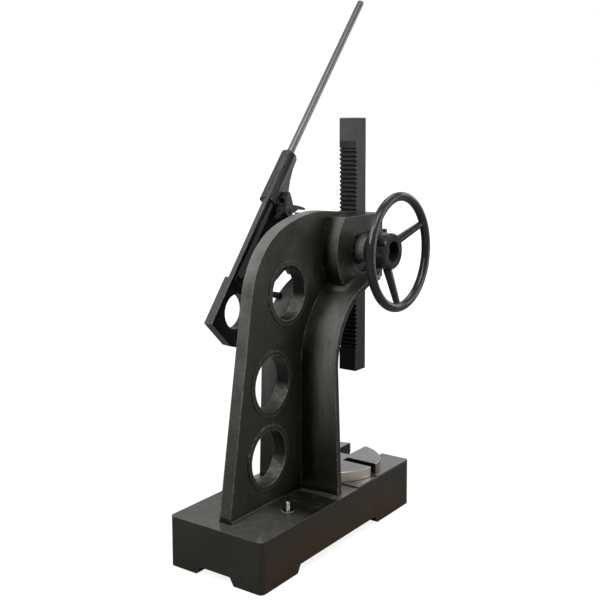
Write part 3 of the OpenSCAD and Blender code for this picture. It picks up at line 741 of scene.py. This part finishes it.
    def chip_and_shade_studs(self, coat: Coat) -> None:
        """Paints shade in the studs' recesses and bares a ring of metal beside them.

        Args:
            coat: the paint so far.
        """
        _, deck = self.top(coat.at)
        chipped = coat.tree.noise(MOTTLE) * 0.6 + 0.4
        for low, high in solids(self.studs):
            stud = (low + high) / 2
            right, back = coat.at.x - stud.x, coat.at.y - stud.y
            ring = length(right - self.chip_shift[0], back - self.chip_shift[1])
            coat.lay(deck * ring.ease(self.chip, self.chip - 0.001) * chipped, self.bare)
            inside = length(right, back).ease(self.recess, self.recess - 0.0008)
            # Painted shade in the recess around the stud.
            coat.lay(deck * inside, self.shade)

    def shaded_corner(self, at: Point) -> Wire:
        """How much of the pad gets painted shade behind the wall's foot."""
        corner = at.y.ease(self.pad_rear - 0.030, self.pad_rear - 0.014)
        return corner * abs(at.x).ease(self.wall + 0.002, self.wall - 0.016) * 0.85

    def wire(self, tree: ShaderTree) -> None:
        """Wires the paint and lays the bare pad over it.

        Args:
            tree: what it is wired in.
        """
        at = tree.point()
        pad, deck = self.top(at)
        rubbed = self.rubbed(tree) * (1 - pad) * (1 - self.base(at) * 0.75)
        paint = Coat(tree, at, self.colour(tree))
        self.paint_rim_light(paint)
        self.paint_wall_light_and_shade(paint)
        self.paint_head_light(paint)
        self.paint_hole_light_and_shade(paint)
        self.rust_base(paint)
        self.paint_deck_light_shade_and_dirt(paint)
        paint.lay(rubbed, self.worn)
        self.chip_and_shade_studs(paint)
        stained = tree.mix(tree.noise(PAD_STAINS) * 0.45, self.bare, self.oil)
        metal = Coat(tree, at, stained)
        metal.lay(tree.specks(160.0, 0.16, 6.0) * 0.6, self.pits)
        corner, swirl = self.shaded_corner(at), tree.noise(PAD_SWIRL)
        # Painted shade on the pad behind the wall's foot.
        metal.lay(corner, self.shade)
        paint.lay(pad, metal.colour)
        gloss = tree.blend(deck, self.roughness(tree, rubbed), tree.noise(EARTH) * 0.12 + 0.14)
        relief = self.relief(tree, 1 - (pad + deck) * 0.85)
        tree.surface(
            paint.colour,
            tree.blend(pad, gloss, swirl * 0.2 + 0.28),
            tree.bump(swirl * pad, 0.00002, relief),
            metallic=pad * (1 - corner) * 0.9,
            sheen=self.sheen,
        )


@dataclass(frozen=True)
class LeverPaint(CastPaint):
    """The lever's paint, with painted shade on its pockets' floors, in a painted groove and on its
    tail, and painted light on its rib.

    Attributes:
        floor: how far out the floors of the pockets lie.
        shade_black: tone of the painted shade.
        rib_light: tone of the painted light on the rib that stands over the floors.
        flange: how far the rear flange's inner edge is from the pivot's line.
        groove: width of the groove painted dark as shade beside the flange.
        tail: where the tail block starts below the pivot.
    """

    floor: float = 0.1505
    shade_black: Colour = grey(0.002)
    rib_light: Colour = grey(0.12)
    flange: float = 0.1670
    groove: float = 0.0065
    tail: float = -0.213

    def colour(self, tree: ShaderTree) -> Wire:
        """The paint before wear, with painted light and painted shade on the faces that look
        inwards.

        Args:
            tree: what it is wired in.

        Returns:
            Its colour.
        """
        at = tree.point()
        inward = at.across.ease(-0.4, -0.8)
        turn = math.radians(LEVER_TILT)
        back, up = at.y - PINION_AXIS[0], at.z - PINION_AXIS[1]
        across = back * math.cos(turn) + up * math.sin(turn)
        along = up * math.cos(turn) - back * math.sin(turn)
        tail = along.ease(self.tail + 0.01, self.tail)
        rib = across.ease(self.flange - self.groove, self.flange - self.groove - 0.001)
        groove = (1 - rib) * across.ease(self.flange, self.flange - 0.001)
        deep = at.x.ease(self.floor, self.floor + 0.001)
        rib = rib * (1 - deep) * (1 - tail)
        # Painted light on the rib's inward faces.
        painted = tree.mix(inward * rib * 0.8, super().colour(tree), self.rib_light)
        # Painted shade on the pockets' floors, in the groove beside the flange and on the tail.
        inner_shade = deep.most(groove).most(tail * 0.8)
        return tree.mix(inward * inner_shade * 0.95, painted, self.shade_black)


@dataclass(frozen=True)
class Metal(Finish):
    """Bare or blackened metal with drawn-out machining marks, stains and bright edges.

    Attributes:
        tone: metal's main tone.
        stain: tone of its stains.
        bright: tone of rubbed edges.
        marks: direction in which the machining marks run.
        fineness: how many marks there are in a metre across them.
        stained: how much of the surface is stained, from 0 to 1.
        metallic: how metallic it is, from 0 to 1.
        gloss: roughness, between two values.
        wear: how much of an edge is bright, from 0 to 1.
        depth: depth of the marks.
        lean: how far the marks lean forward from their axis.
        line: how wide a bright edge is.
        rounding: radius to which edges look rounded.
        chips: pattern that breaks the bright edges up.
        sheen: how strongly the black on it mirrors, 0.5 being plain.
    """

    tone: Colour = (0.5, 0.5, 0.49)
    stain: Colour = (0.22, 0.2, 0.17)
    bright: Colour = (0.62, 0.61, 0.59)
    marks: Axis = Axis.Z
    fineness: float = 900.0
    stained: float = 0.35
    metallic: float = 1.0
    gloss: tuple[float, float] = (0.26, 0.42)
    wear: float = 0.35
    depth: float = 0.00003
    lean: float = 0.0
    line: float = 0.0016
    rounding: float = 0.0005
    chips: Noise = METAL_CHIPS
    sheen: float = 0.5

    def lines(self, tree: ShaderTree) -> Wire:
        """The machining marks."""
        stretch = tuple(0.035 if part else 1.0 for part in self.marks.value)
        return tree.noise(Noise(self.fineness, 2.0, 0.55, stretch=stretch, lean=-self.lean))

    def close(self, coat: Coat, patch: Wire, rough: Wire, relief: Wire, metallic: Value) -> None:
        """Ends the tree, with bright edges over the coat.

        Args:
            coat: the colours of the metal.
            patch: where it is stained, which makes it rougher.
            rough: how rough its marks are, from 0 to 1.
            relief: how high its marks are, from 0 to 1.
            metallic: how metallic it is, from 0 to 1.
        """
        tree = coat.tree
        edge = tree.edges(self.line)[0] * tree.noise(self.chips)
        coat.lay(edge * self.wear, self.bright)
        roughness = tree.blend(rough, *self.gloss) + patch * 0.12
        normal = tree.bump(relief, self.depth, tree.rounded(self.rounding))
        tree.surface(coat.colour, roughness, normal, metallic, self.sheen)

    def wire(self, tree: ShaderTree) -> None:
        """Wires tone, stains and marks together.

        Args:
            tree: what it is wired in.
        """
        lines = self.lines(tree)
        rough = lines.ease(0.3, 0.7)
        patch = tree.noise(METAL_STAINS) * self.stained
        patch = patch + tree.specks(170.0, 0.14, 4.0) * (self.stained * 0.6)
        coat = Coat(tree, tree.point(), tree.mix(rough * 0.25, self.tone, self.stain))
        coat.lay(patch, self.stain)
        self.close(coat, patch, rough, lines, self.metallic)


@dataclass(frozen=True)
class TurnedPlate(Metal):
    """The turned and ground table plate: ring marks on top, a warm rim, blackened slots.

    Attributes:
        rim: radius from which a side face is the turned rim.
        warm: tone of the rim.
        warm_lines: tone of the turning marks on the rim.
        rim_shade: tone of the painted shade on one stretch of the rim.
        rim_shade_side: X and Y of the direction in which that stretch lies.
        spots: tone of the rust spots on the top.
        black: tone of the slots' inner faces.
    """

    rim: float = 0.1175
    warm: Colour = (0.98, 0.88, 0.76)
    warm_lines: Colour = (0.24, 0.21, 0.16)
    rim_shade: Colour = (0.12, 0.105, 0.09)
    rim_shade_side: tuple[float, float] = (-0.83, -0.556)
    spots: Colour = (0.08, 0.07, 0.06)
    black: Colour = (0.012, 0.011, 0.010)
    rounding: float = 0.0007
    chips: Noise = TABLE_CHIPS

    def wire(self, tree: ShaderTree) -> None:
        """Wires the ground top, the rim and the slots together.

        Args:
            tree: what it is wired in.
        """
        at = tree.point()
        radius = length(at.x, at.y)
        top = at.up.ease(0.5, 0.8)
        side = 1 - top
        outer = radius.ease(self.rim - 0.001, self.rim)
        slot = side * (1 - outer)
        inputs = {"W": radius, "Scale": self.fineness, "Detail": 2.0}
        rings = tree.add("TexNoise", {"noise_dimensions": "1D"}, inputs)
        lines = self.lines(tree)
        patch = tree.noise(TABLE_STAINS) * self.stained
        coat = Coat(tree, at, tree.mix(rings.ease(0.35, 0.65) * 0.2, self.tone, self.stain))
        coat.lay(patch, self.stain)
        coat.lay(tree.specks(120.0, 0.16, 4.0) * 0.6, self.spots)
        coat.lay(slot, self.black)
        rim = tree.mix(lines.ease(0.3, 0.7) * 0.35, self.warm, self.warm_lines)
        towards = at.x * self.rim_shade_side[0] + at.y * self.rim_shade_side[1]
        # Painted shade on one side of the rim.
        coat.lay(side * outer, tree.mix(towards.ease(0.080, 0.112) * 0.9, rim, self.rim_shade))
        self.close(coat, patch, rings, rings * top + lines * side, 1 - slot * 0.8)


@dataclass(frozen=True)
class RamSteel(Metal):
    """Blackened steel, with painted light on the plain rear face above the rack's teeth, and
    painted shade on its sides and low down.

    Attributes:
        plain: height above which there are no teeth.
        pale: tone of the painted light on the plain face.
        side_shade: tone of the painted shade on the sides.
        shaded_below: height below which the faces that don't look sideways are painted black as
            shade.
        shade_black: tone of that painted shade.
    """

    plain: float = 0.819
    pale: Colour = grey(0.16)
    side_shade: Colour = grey(0.030)
    shaded_below: float = 0.47
    shade_black: Colour = grey(0.004)
    line: float = 0.0022
    rounding: float = 0.0006
    chips: Noise = RAM_CHIPS
    sheen: float = 0.35

    def wire(self, tree: ShaderTree) -> None:
        """Wires the metal with painted shade on its sides and low down, and painted light on its
        plain face.

        Args:
            tree: what it is wired in.
        """
        at = tree.point()
        lines = self.lines(tree)
        rough = lines.ease(0.3, 0.7)
        patch = tree.noise(METAL_STAINS) * self.stained
        coat = Coat(tree, at, tree.mix(patch + rough * 0.2, self.tone, self.stain))
        # Painted shade on the sides.
        coat.lay(abs(at.across).ease(0.5, 0.8) * 0.75, self.side_shade)
        plain = at.back.ease(0.5, 0.8) * at.z.ease(self.plain, self.plain + 0.001)
        # Painted light on the plain rear face.
        coat.lay(plain * (patch * 0.4 + 0.6), self.pale)
        shaded_below = (1 - abs(at.across)) * at.z.ease(self.shaded_below + 0.03, self.shaded_below)
        # Painted shade low down on the faces that don't look sideways.
        coat.lay(shaded_below * 0.9, self.shade_black)
        self.close(coat, patch, rough, lines, self.metallic)


BLACKENED: Mapping[str, Any] = {
    "tone": grey(0.060),
    "stain": (0.028, 0.027, 0.026),
    "bright": (0.24, 0.24, 0.235),
    "metallic": 0.55,
    "gloss": (0.3, 0.46),
    "stained": 0.5,
}
FRAME_PAINT = FramePaint("frame_enamel")
HEAD_PAINT = CastPaint("cover_enamel")
LEVER_PAINT = LeverPaint(
    "lever_enamel",
    dark=grey(0.018),
    light=grey(0.032),
    gloss=(0.26, 0.36),
    grain=0.0002,
    wear=0.9,
    line=0.0034,
    nook=0.022,
)
WHEEL_ENAMEL = CastPaint(
    "wheel_enamel",
    dark=grey(0.017),
    light=grey(0.030),
    gloss=(0.08, 0.15),
    grain=0.00008,
    wear=0.5,
    line=0.0028,
)
RAM_STEEL = RamSteel("ram_steel", wear=0.6, **BLACKENED)
BLACK_STEEL = Metal("blackened_steel", **BLACKENED)
BLACK_SCREW = Metal(
    "blackened_screws",
    tone=(0.035, 0.035, 0.036),
    stain=grey(0.018),
    bright=grey(0.2),
    metallic=0.6,
    gloss=(0.26, 0.4),
    fineness=1500.0,
    stained=0.4,
    wear=0.5,
)
GEAR_STEEL = Metal(
    "oiled_gear_steel",
    tone=(0.20, 0.195, 0.185),
    stain=(0.07, 0.062, 0.05),
    marks=Axis.X,
    gloss=(0.24, 0.4),
    stained=0.6,
)
BAR_STEEL = Metal(
    "drawn_bar_steel",
    tone=grey(0.20),
    stain=(0.11, 0.108, 0.105),
    bright=grey(0.35),
    fineness=500.0,
    stained=0.1,
    gloss=(0.34, 0.46),
    depth=0.00001,
    lean=LEVER_TILT,
)
ZINC = Metal(
    "zinc_plate",
    tone=(0.66, 0.67, 0.68),
    stain=(0.40, 0.39, 0.36),
    bright=grey(0.8),
    fineness=1800.0,
    gloss=(0.2, 0.34),
    stained=0.3,
)
BRONZE = Metal(
    "bearing_bronze",
    tone=(0.50, 0.33, 0.13),
    stain=(0.22, 0.13, 0.05),
    bright=(0.68, 0.5, 0.25),
    marks=Axis.X,
    gloss=(0.26, 0.4),
)
TABLE_STEEL = TurnedPlate(
    "turned_table_plate", tone=(0.42, 0.42, 0.415), stain=(0.25, 0.24, 0.22), gloss=(0.32, 0.44)
)


# ---------- pieces ----------


def solids(node: str) -> list[tuple[Vector, Vector]]:
    """The boxes of a CAD node's separate solids.

    Args:
        node: the CAD node.

    Returns:
        The lowest and highest corner of each solid.
    """
    shape = bmesh.new()
    shape.from_mesh(bpy.data.objects[node].data)
    bmesh.ops.remove_doubles(shape, verts=shape.verts, dist=WELD)
    left, found = set(shape.verts), []
    while left:
        reach, island = [left.pop()], []
        while reach:
            vert = reach.pop()
            island.append(vert.co.copy())
            for edge in vert.link_edges:
                other = edge.other_vert(vert)
                if other in left:
                    left.remove(other)
                    reach.append(other)
        found.append(
            tuple(Vector(pick(p[i] for p in island) for i in range(3)) for pick in (min, max))
        )
    shape.free()
    return sorted(found, key=lambda box: tuple(round(v, 4) for v in box[0]))


@dataclass(frozen=True)
class Thread:
    """A screw thread.

    Attributes:
        diameter: across the crests.
        pitch: from one crest to the next.
        steps: how many faces there are in a turn.
    """

    diameter: float = 0.010
    pitch: float = 0.0015
    steps: int = 24

    def ridge(self, reach: float) -> bmesh.types.BMesh:
        """Winds the ridge, open and longer than the rod at both ends.

        Args:
            reach: the length of the rod.

        Returns:
            The ridge.
        """
        turns = math.ceil(reach / self.pitch) + 3
        crest, root = self.diameter / 2, self.diameter / 2 - 0.6 * self.pitch
        shape = bmesh.new()
        outline = ((root, 0.0), (crest, 0.44), (crest, 0.56), (root, 1.0))
        verts = [shape.verts.new((r, 0.0, (k - 1.5) * self.pitch)) for r, k in outline]
        lines = [shape.edges.new(pair) for pair in zip(verts, verts[1:])]
        bmesh.ops.spin(
            shape,
            geom=verts + lines,
            axis=(0, 0, 1),
            cent=(0, 0, 0),
            dvec=(0, 0, self.pitch / self.steps),
            angle=math.tau * turns,
            steps=self.steps * turns,
            use_merge=False,
        )
        bmesh.ops.remove_doubles(shape, verts=shape.verts, dist=WELD)
        return shape

    def rod(self, reach: float) -> bmesh.types.BMesh:
        """Cuts a threaded rod, which stands on the origin along Z and has a chamfered top.

        Args:
            reach: its length.

        Returns:
            The closed rod.
        """
        shape = self.ridge(reach)
        for height, side in ((0.0, -1), (reach, 1)):
            bmesh.ops.bisect_plane(
                shape,
                geom=[*shape.verts, *shape.edges, *shape.faces],
                plane_co=(0, 0, height),
                plane_no=(0, 0, side),
                clear_outer=True,
            )
            open_edges = (e for e in shape.edges if e.is_boundary)
            rims = [e for e in open_edges if abs(e.verts[0].co.z - height) < WELD]
            bmesh.ops.holes_fill(shape, edges=rims, sides=0)
        chamfer = self.pitch * 0.8
        for vert in shape.verts:
            limit = self.diameter / 2 - max(0.0, vert.co.z - (reach - chamfer))
            across = math.hypot(vert.co.x, vert.co.y)
            if across > limit:
                vert.co.x, vert.co.y = vert.co.x * limit / across, vert.co.y * limit / across
        bmesh.ops.recalc_face_normals(shape, faces=shape.faces)
        return shape


def join(whole: bmesh.types.BMesh, part: bmesh.types.BMesh, place: Matrix) -> None:
    """Moves a part to its place and adds it to the whole.

    Args:
        whole: what it is added to.
        part: the part, which is used up.
        place: where it goes.
    """
    part.transform(place)
    mesh = bpy.data.meshes.new("part")
    part.to_mesh(mesh)
    part.free()
    whole.from_mesh(mesh)
    bpy.data.meshes.remove(mesh)


def finished(
    shape: bmesh.types.BMesh, name: str, finish: Finish, body: Body
) -> bpy.types.Object:
    """Turns a shape into a dressed piece that rides on a body.

    Args:
        shape: the shape in the press's frame, which is used up.
        name: the piece's name.
        finish: what it is dressed in.
        body: what it moves with.

    Returns:
        The piece.
    """
    mesh = bpy.data.meshes.new(name)
    shape.to_mesh(mesh)
    shape.free()
    mesh.materials.append(finish.material())
    mesh.shade_smooth()
    mesh.set_sharp_from_angle(angle=math.radians(SMOOTH_ANGLE))
    piece = bpy.data.objects.new(name, mesh)
    bpy.context.scene.collection.objects.link(piece)
    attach(piece, body.value)
    LOG.info("piece %s: %d faces in %s", name, len(mesh.polygons), finish.name)
    return piece


@dataclass
class Assembly:
    """A sub-assembly, which dresses its CAD nodes and may add pieces of its own.

    Attributes:
        body: what it moves with.
        finishes: its CAD nodes, each with what it wears.
    """

    body: Body = Body.FRAME
    finishes: Finishes = ()

    def model(self) -> None:
        """Builds the pieces that the sub-assembly adds, if any."""

    def build(self) -> None:
        """Dresses the CAD nodes, then adds the sub-assembly's own pieces."""
        for node, finish in self.finishes:
            bpy.data.objects[node].material_slots[0].material = finish.material()
            LOG.info("node %s on body %s wears %s", node, self.body.value, finish.name)
        self.model()


@dataclass
class Frame(Assembly):
    """The one-piece base, web, throat wall and head, with its pin and anchor studs.

    Attributes:
        thread: thread of an anchor stud.
        stud_free: length of thread above the stud's root.
    """

    thread: Thread = Thread()
    stud_free: float = 0.025
    finishes: Finishes = (
        ("frame_casting", FRAME_PAINT),
        ("table_pin", GEAR_STEEL),
        ("anchor_studs", ZINC),
        ("bush_left", BRONZE),
        ("bush_right", BRONZE),
    )

    def model(self) -> None:
        """Makes the anchor studs again with their threads cut."""
        studs = bmesh.new()
        for low, high in solids("anchor_studs"):
            centre = (low + high) / 2
            foot = Vector((centre.x, centre.y, high.z - self.stud_free))
            join(studs, self.thread.rod(self.stud_free), Matrix.Translation(foot))
        piece = finished(studs, "threaded_studs", ZINC, self.body)
        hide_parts("anchor_studs")


@dataclass
class Cover(Assembly):
    """The ram's cover, its cap screws, and the jack screws with their nuts.

    Attributes:
        thread: thread of a jack screw.
        head: width and depth of its square head.
        bevel: width of the bevel on its edges.
    """

    thread: Thread = Thread()
    head: float = 0.012
    bevel: float = 0.0007
    finishes: Finishes = (
        ("ram_cover", HEAD_PAINT),
        ("cover_screws", BLACK_SCREW),
        ("jack_screws", BLACK_SCREW),
        ("jack_nuts", BLACK_SCREW),
    )

    def square_head(self) -> bmesh.types.BMesh:
        """Makes the square head of a jack screw.

        Returns:
            The head, centred on the origin.
        """
        head = bmesh.new()
        bmesh.ops.create_cube(head, size=self.head)
        bmesh.ops.bevel(
            head,
            geom=head.edges[:],
            offset=self.bevel,
            offset_type="OFFSET",
            affect="EDGES",
            segments=2,
            profile=0.5,
            material=-1,
        )
        return head

    def model(self) -> None:
        """Makes the jack screws again with threads and bevelled square heads."""
        screws = bmesh.new()
        turn = Matrix.Rotation(-math.pi / 2, 4, "X")
        for low, high in solids("jack_screws"):
            centre = (low + high) / 2
            shoulder = low.y + self.head
            rod = self.thread.rod(high.y - shoulder + self.bevel)
            foot = Vector((centre.x, shoulder - self.bevel, centre.z))
            join(screws, rod, Matrix.Translation(foot) @ turn)
            seat = Vector((centre.x, low.y + self.head / 2, centre.z))
            join(screws, self.square_head(), Matrix.Translation(seat))
        piece = finished(screws, "threaded_jack_screws", BLACK_SCREW, self.body)
        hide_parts("jack_screws")


@dataclass
class Ram(Assembly):
    """The square ram with its rack."""

    body: Body = Body.RAM
    finishes: Finishes = (("ram", RAM_STEEL),)


@dataclass
class Drive(Assembly):
    """The pinion shaft, its ratchet wheel, and what closes the shaft's ends."""

    body: Body = Body.PINION
    finishes: Finishes = (
        ("pinion_shaft", GEAR_STEEL),
        ("ratchet_wheel", GEAR_STEEL),
        ("ratchet_key", GEAR_STEEL),
        ("shaft_washer", BLACK_STEEL),
        ("shaft_bolt", BLACK_SCREW),
    )


@dataclass
class Handwheel(Assembly):
    """The three-spoke handwheel on the shaft's left end."""

    body: Body = Body.PINION
    finishes: Finishes = (
        ("handwheel", WHEEL_ENAMEL),
        ("handwheel_key", GEAR_STEEL),
        ("handwheel_washer", BLACK_STEEL),
        ("handwheel_bolt", BLACK_SCREW),
    )


@dataclass
class Lever(Assembly):
    """The lever casting with its bar, stop pin and pawl pin."""

    body: Body = Body.LEVER
    finishes: Finishes = (
        ("lever_casting", LEVER_PAINT),
        ("lever_bush", BRONZE),
        ("lever_bar", BAR_STEEL),
        ("bar_screw", BLACK_SCREW),
        ("stop_pin", BLACK_SCREW),
        ("pawl_pin", BLACK_STEEL),
        ("pawl_clip", BLACK_SCREW),
    )


@dataclass
class Pawl(Assembly):
    """The pawl that the lever drives the ratchet wheel with."""

    body: Body = Body.PAWL
    finishes: Finishes = (("pawl", BLACK_STEEL),)


@dataclass
class Table(Assembly):
    """The turning table plate with its four slots."""

    body: Body = Body.TABLE
    finishes: Finishes = (("table_plate", TABLE_STEEL),)


# ---------- studio ----------


def direction(azimuth: float, elevation: float) -> Vector:
    """The direction from the press to something around it.

    Args:
        azimuth: 0 being the press's front and 90 its right.
        elevation: its height over the horizon.

    Returns:
        A vector of length 1.
    """
    turn, lift = math.radians(azimuth), math.radians(elevation)
    flat = math.cos(lift)
    return Vector((math.sin(turn) * flat, -math.cos(turn) * flat, math.sin(lift)))


@dataclass(frozen=True)
class Lamp:
    """One soft square lamp that looks at the middle of the press.

    Attributes:
        name: lamp's name.
        turn: its direction to the right of the camera's.
        lift: its height over the horizon.
        size: length of its side.
        power: its power.
    """

    name: str
    turn: float
    lift: float
    size: float
    power: float

    def hang(self, azimuth: float, reach: float) -> None:
        """Hangs the lamp.

        Args:
            azimuth: the direction that the camera looks from.
            reach: how far from the press it hangs.
        """
        lamp = bpy.data.lights.new(self.name, "AREA")
        lamp.shape, lamp.size, lamp.energy = "SQUARE", self.size, self.power
        away = direction(azimuth + self.turn, self.lift)
        holder = bpy.data.objects.new(self.name, lamp)
        holder.location = Vector(PRESS_MIDDLE) + away * reach
        holder.rotation_euler = (-away).to_track_quat("-Z", "Y").to_euler()
        holder.visible_camera = False
        bpy.context.scene.collection.objects.link(holder)


LAMPS = (
    Lamp("left_key", turn=-90.0, lift=42.0, size=2.4, power=22.0),
    Lamp("rear_key", turn=-38.0, lift=38.0, size=1.9, power=60.0),
    Lamp("top", turn=10.0, lift=60.0, size=2.0, power=40.0),
    Lamp("right_side", turn=90.0, lift=12.0, size=2.4, power=30.0),
    Lamp("far_right", turn=135.0, lift=12.0, size=2.4, power=18.0),
    Lamp("front", turn=165.0, lift=62.0, size=1.6, power=15.0),
)


@dataclass
class Studio:
    """The floor, the soft light and the camera.

    Attributes:
        eye: camera's place.
        azimuth: direction that it looks from, 0 being the press's front.
        elevation: its height over the horizon.
        roll: how far it is turned about its own axis.
        lens: focal length for a 36 mm frame, in millimetres.
        rise: how far the frame is shifted upwards, as a share of its width.
        ambient: strength of the light that comes from everywhere.
        dim: strength of the reflected surroundings away from the backdrop.
        glow: strength of the reflected backdrop.
        bounce: how much of the light the floor throws back.
        pale: how pale the shadowed floor looks to the camera.
        shine: how bright the floor looks where it fades into the backdrop.
        reach: how far the lamps hang from the press.
    """

    eye: Colour = (-1.310664, 1.984204, 0.827524)
    azimuth: float = 215.545
    elevation: float = 6.221
    roll: float = -0.227
    lens: float = 56.32
    rise: float = -0.1
    ambient: float = 0.22
    dim: float = 0.13
    glow: float = 0.6
    bounce: float = 0.3
    pale: float = 0.86
    shine: float = 1.2
    reach: float = 3.4

    def place_camera(self) -> None:
        """Makes the camera and gives it to the scene."""
        lens = bpy.data.cameras.new("camera")
        lens.lens, lens.sensor_width, lens.sensor_fit = self.lens, 36.0, "HORIZONTAL"
        lens.shift_y = self.rise
        lens.clip_start, lens.clip_end = 0.05, 100.0
        back, right = direction(self.azimuth, self.elevation), direction(self.azimuth + 90.0, 0.0)
        axes = Matrix((right, back.cross(right), back)).transposed()
        axes = axes @ Matrix.Rotation(math.radians(self.roll), 3, "Z")
        camera = bpy.data.objects.new("camera", lens)
        camera.matrix_world = Matrix.Translation(self.eye) @ axes.to_4x4()
        bpy.context.scene.collection.objects.link(camera)
        bpy.context.scene.camera = camera

    def lay_floor(self, level: float) -> None:
        """Lays the pale floor under the press.

        Args:
            level: its height.
        """
        shape = bmesh.new()
        bmesh.ops.create_grid(shape, x_segments=1, y_segments=1, size=30.0)
        bmesh.ops.translate(shape, verts=shape.verts, vec=(0.0, 0.0, level - 0.0002))
        mesh = bpy.data.meshes.new("floor")
        shape.to_mesh(mesh)
        shape.free()
        floor = bpy.data.objects.new("floor", mesh)
        bpy.context.scene.collection.objects.link(floor)
        material = bpy.data.materials.new("studio_floor")
        material.use_nodes = True
        tree = ShaderTree(material.node_tree)
        ray = tree.add("LightPath", output="Is Camera Ray")
        tone = tree.mix(ray, grey(self.bounce), grey(self.pale))
        plain = tree.add("BsdfDiffuse", inputs={"Color": tone})
        glow = {"Color": grey(1.0), "Strength": self.shine}
        white = tree.add("Emission", inputs=glow)
        away = tree.vector("LENGTH", tree.place()).ease(0.5, 1.5)
        shown = ray * tree.blend(away, 0.72, 1.0)
        both = tree.add("MixShader", inputs={0: shown, 1: plain, 2: white})
        tree.end("OutputMaterial", both)
        mesh.materials.append(material)
        floor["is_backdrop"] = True

    def light_world(self) -> None:
        """Plain light from everywhere, with a white backdrop where it is seen or mirrored."""
        world = bpy.data.worlds.new("studio")
        world.use_nodes = True
        bpy.context.scene.world = world
        tree = ShaderTree(world.node_tree)
        seen, through, mirrored = (
            tree.add("LightPath", output=f"Is {kind} Ray")
            for kind in ("Camera", "Transmission", "Glossy")
        )
        along = tree.add("TexCoord", output="Generated")
        behind = tree.vector("DOT_PRODUCT", along, -direction(self.azimuth, 0.0))
        _, _, up = tree.split(along)
        lit = behind.ease(0.3, 0.85).most(up.ease(0.2, 0.9) * 0.8)
        backdrop = tree.blend(lit, self.dim, self.glow)
        shown = seen.most(through)
        other = mirrored * backdrop + (1 - mirrored) * self.ambient
        glow = {"Color": grey(1.0), "Strength": shown + (1 - shown) * other}
        light = tree.add("Background", inputs=glow)
        tree.end("OutputWorld", light)

    def build(self, level: float) -> None:
        """Sets the whole studio up around the press.

        Args:
            level: the height that the press stands at.
        """
        bpy.context.scene.view_settings.view_transform = "Standard"
        self.place_camera()
        self.lay_floor(level)
        self.light_world()
        for lamp in LAMPS:
            lamp.hang(self.azimuth, self.reach)


def main() -> None:
    """Builds the press's looks and its studio, in order."""
    logging.basicConfig(level=logging.INFO, format="%(name)s: %(message)s")
    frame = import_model()
    LOG.info("the frame holds %d nodes", len(frame["nodes"]))
    cad_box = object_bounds()
    for kind in (Frame, Cover, Ram, Drive, Handwheel, Lever, Pawl, Table):
        LOG.info("building %s", kind.__name__)
        kind().build()
    Studio().build(cad_box[0][2])


if __name__ == "__main__":
    main()
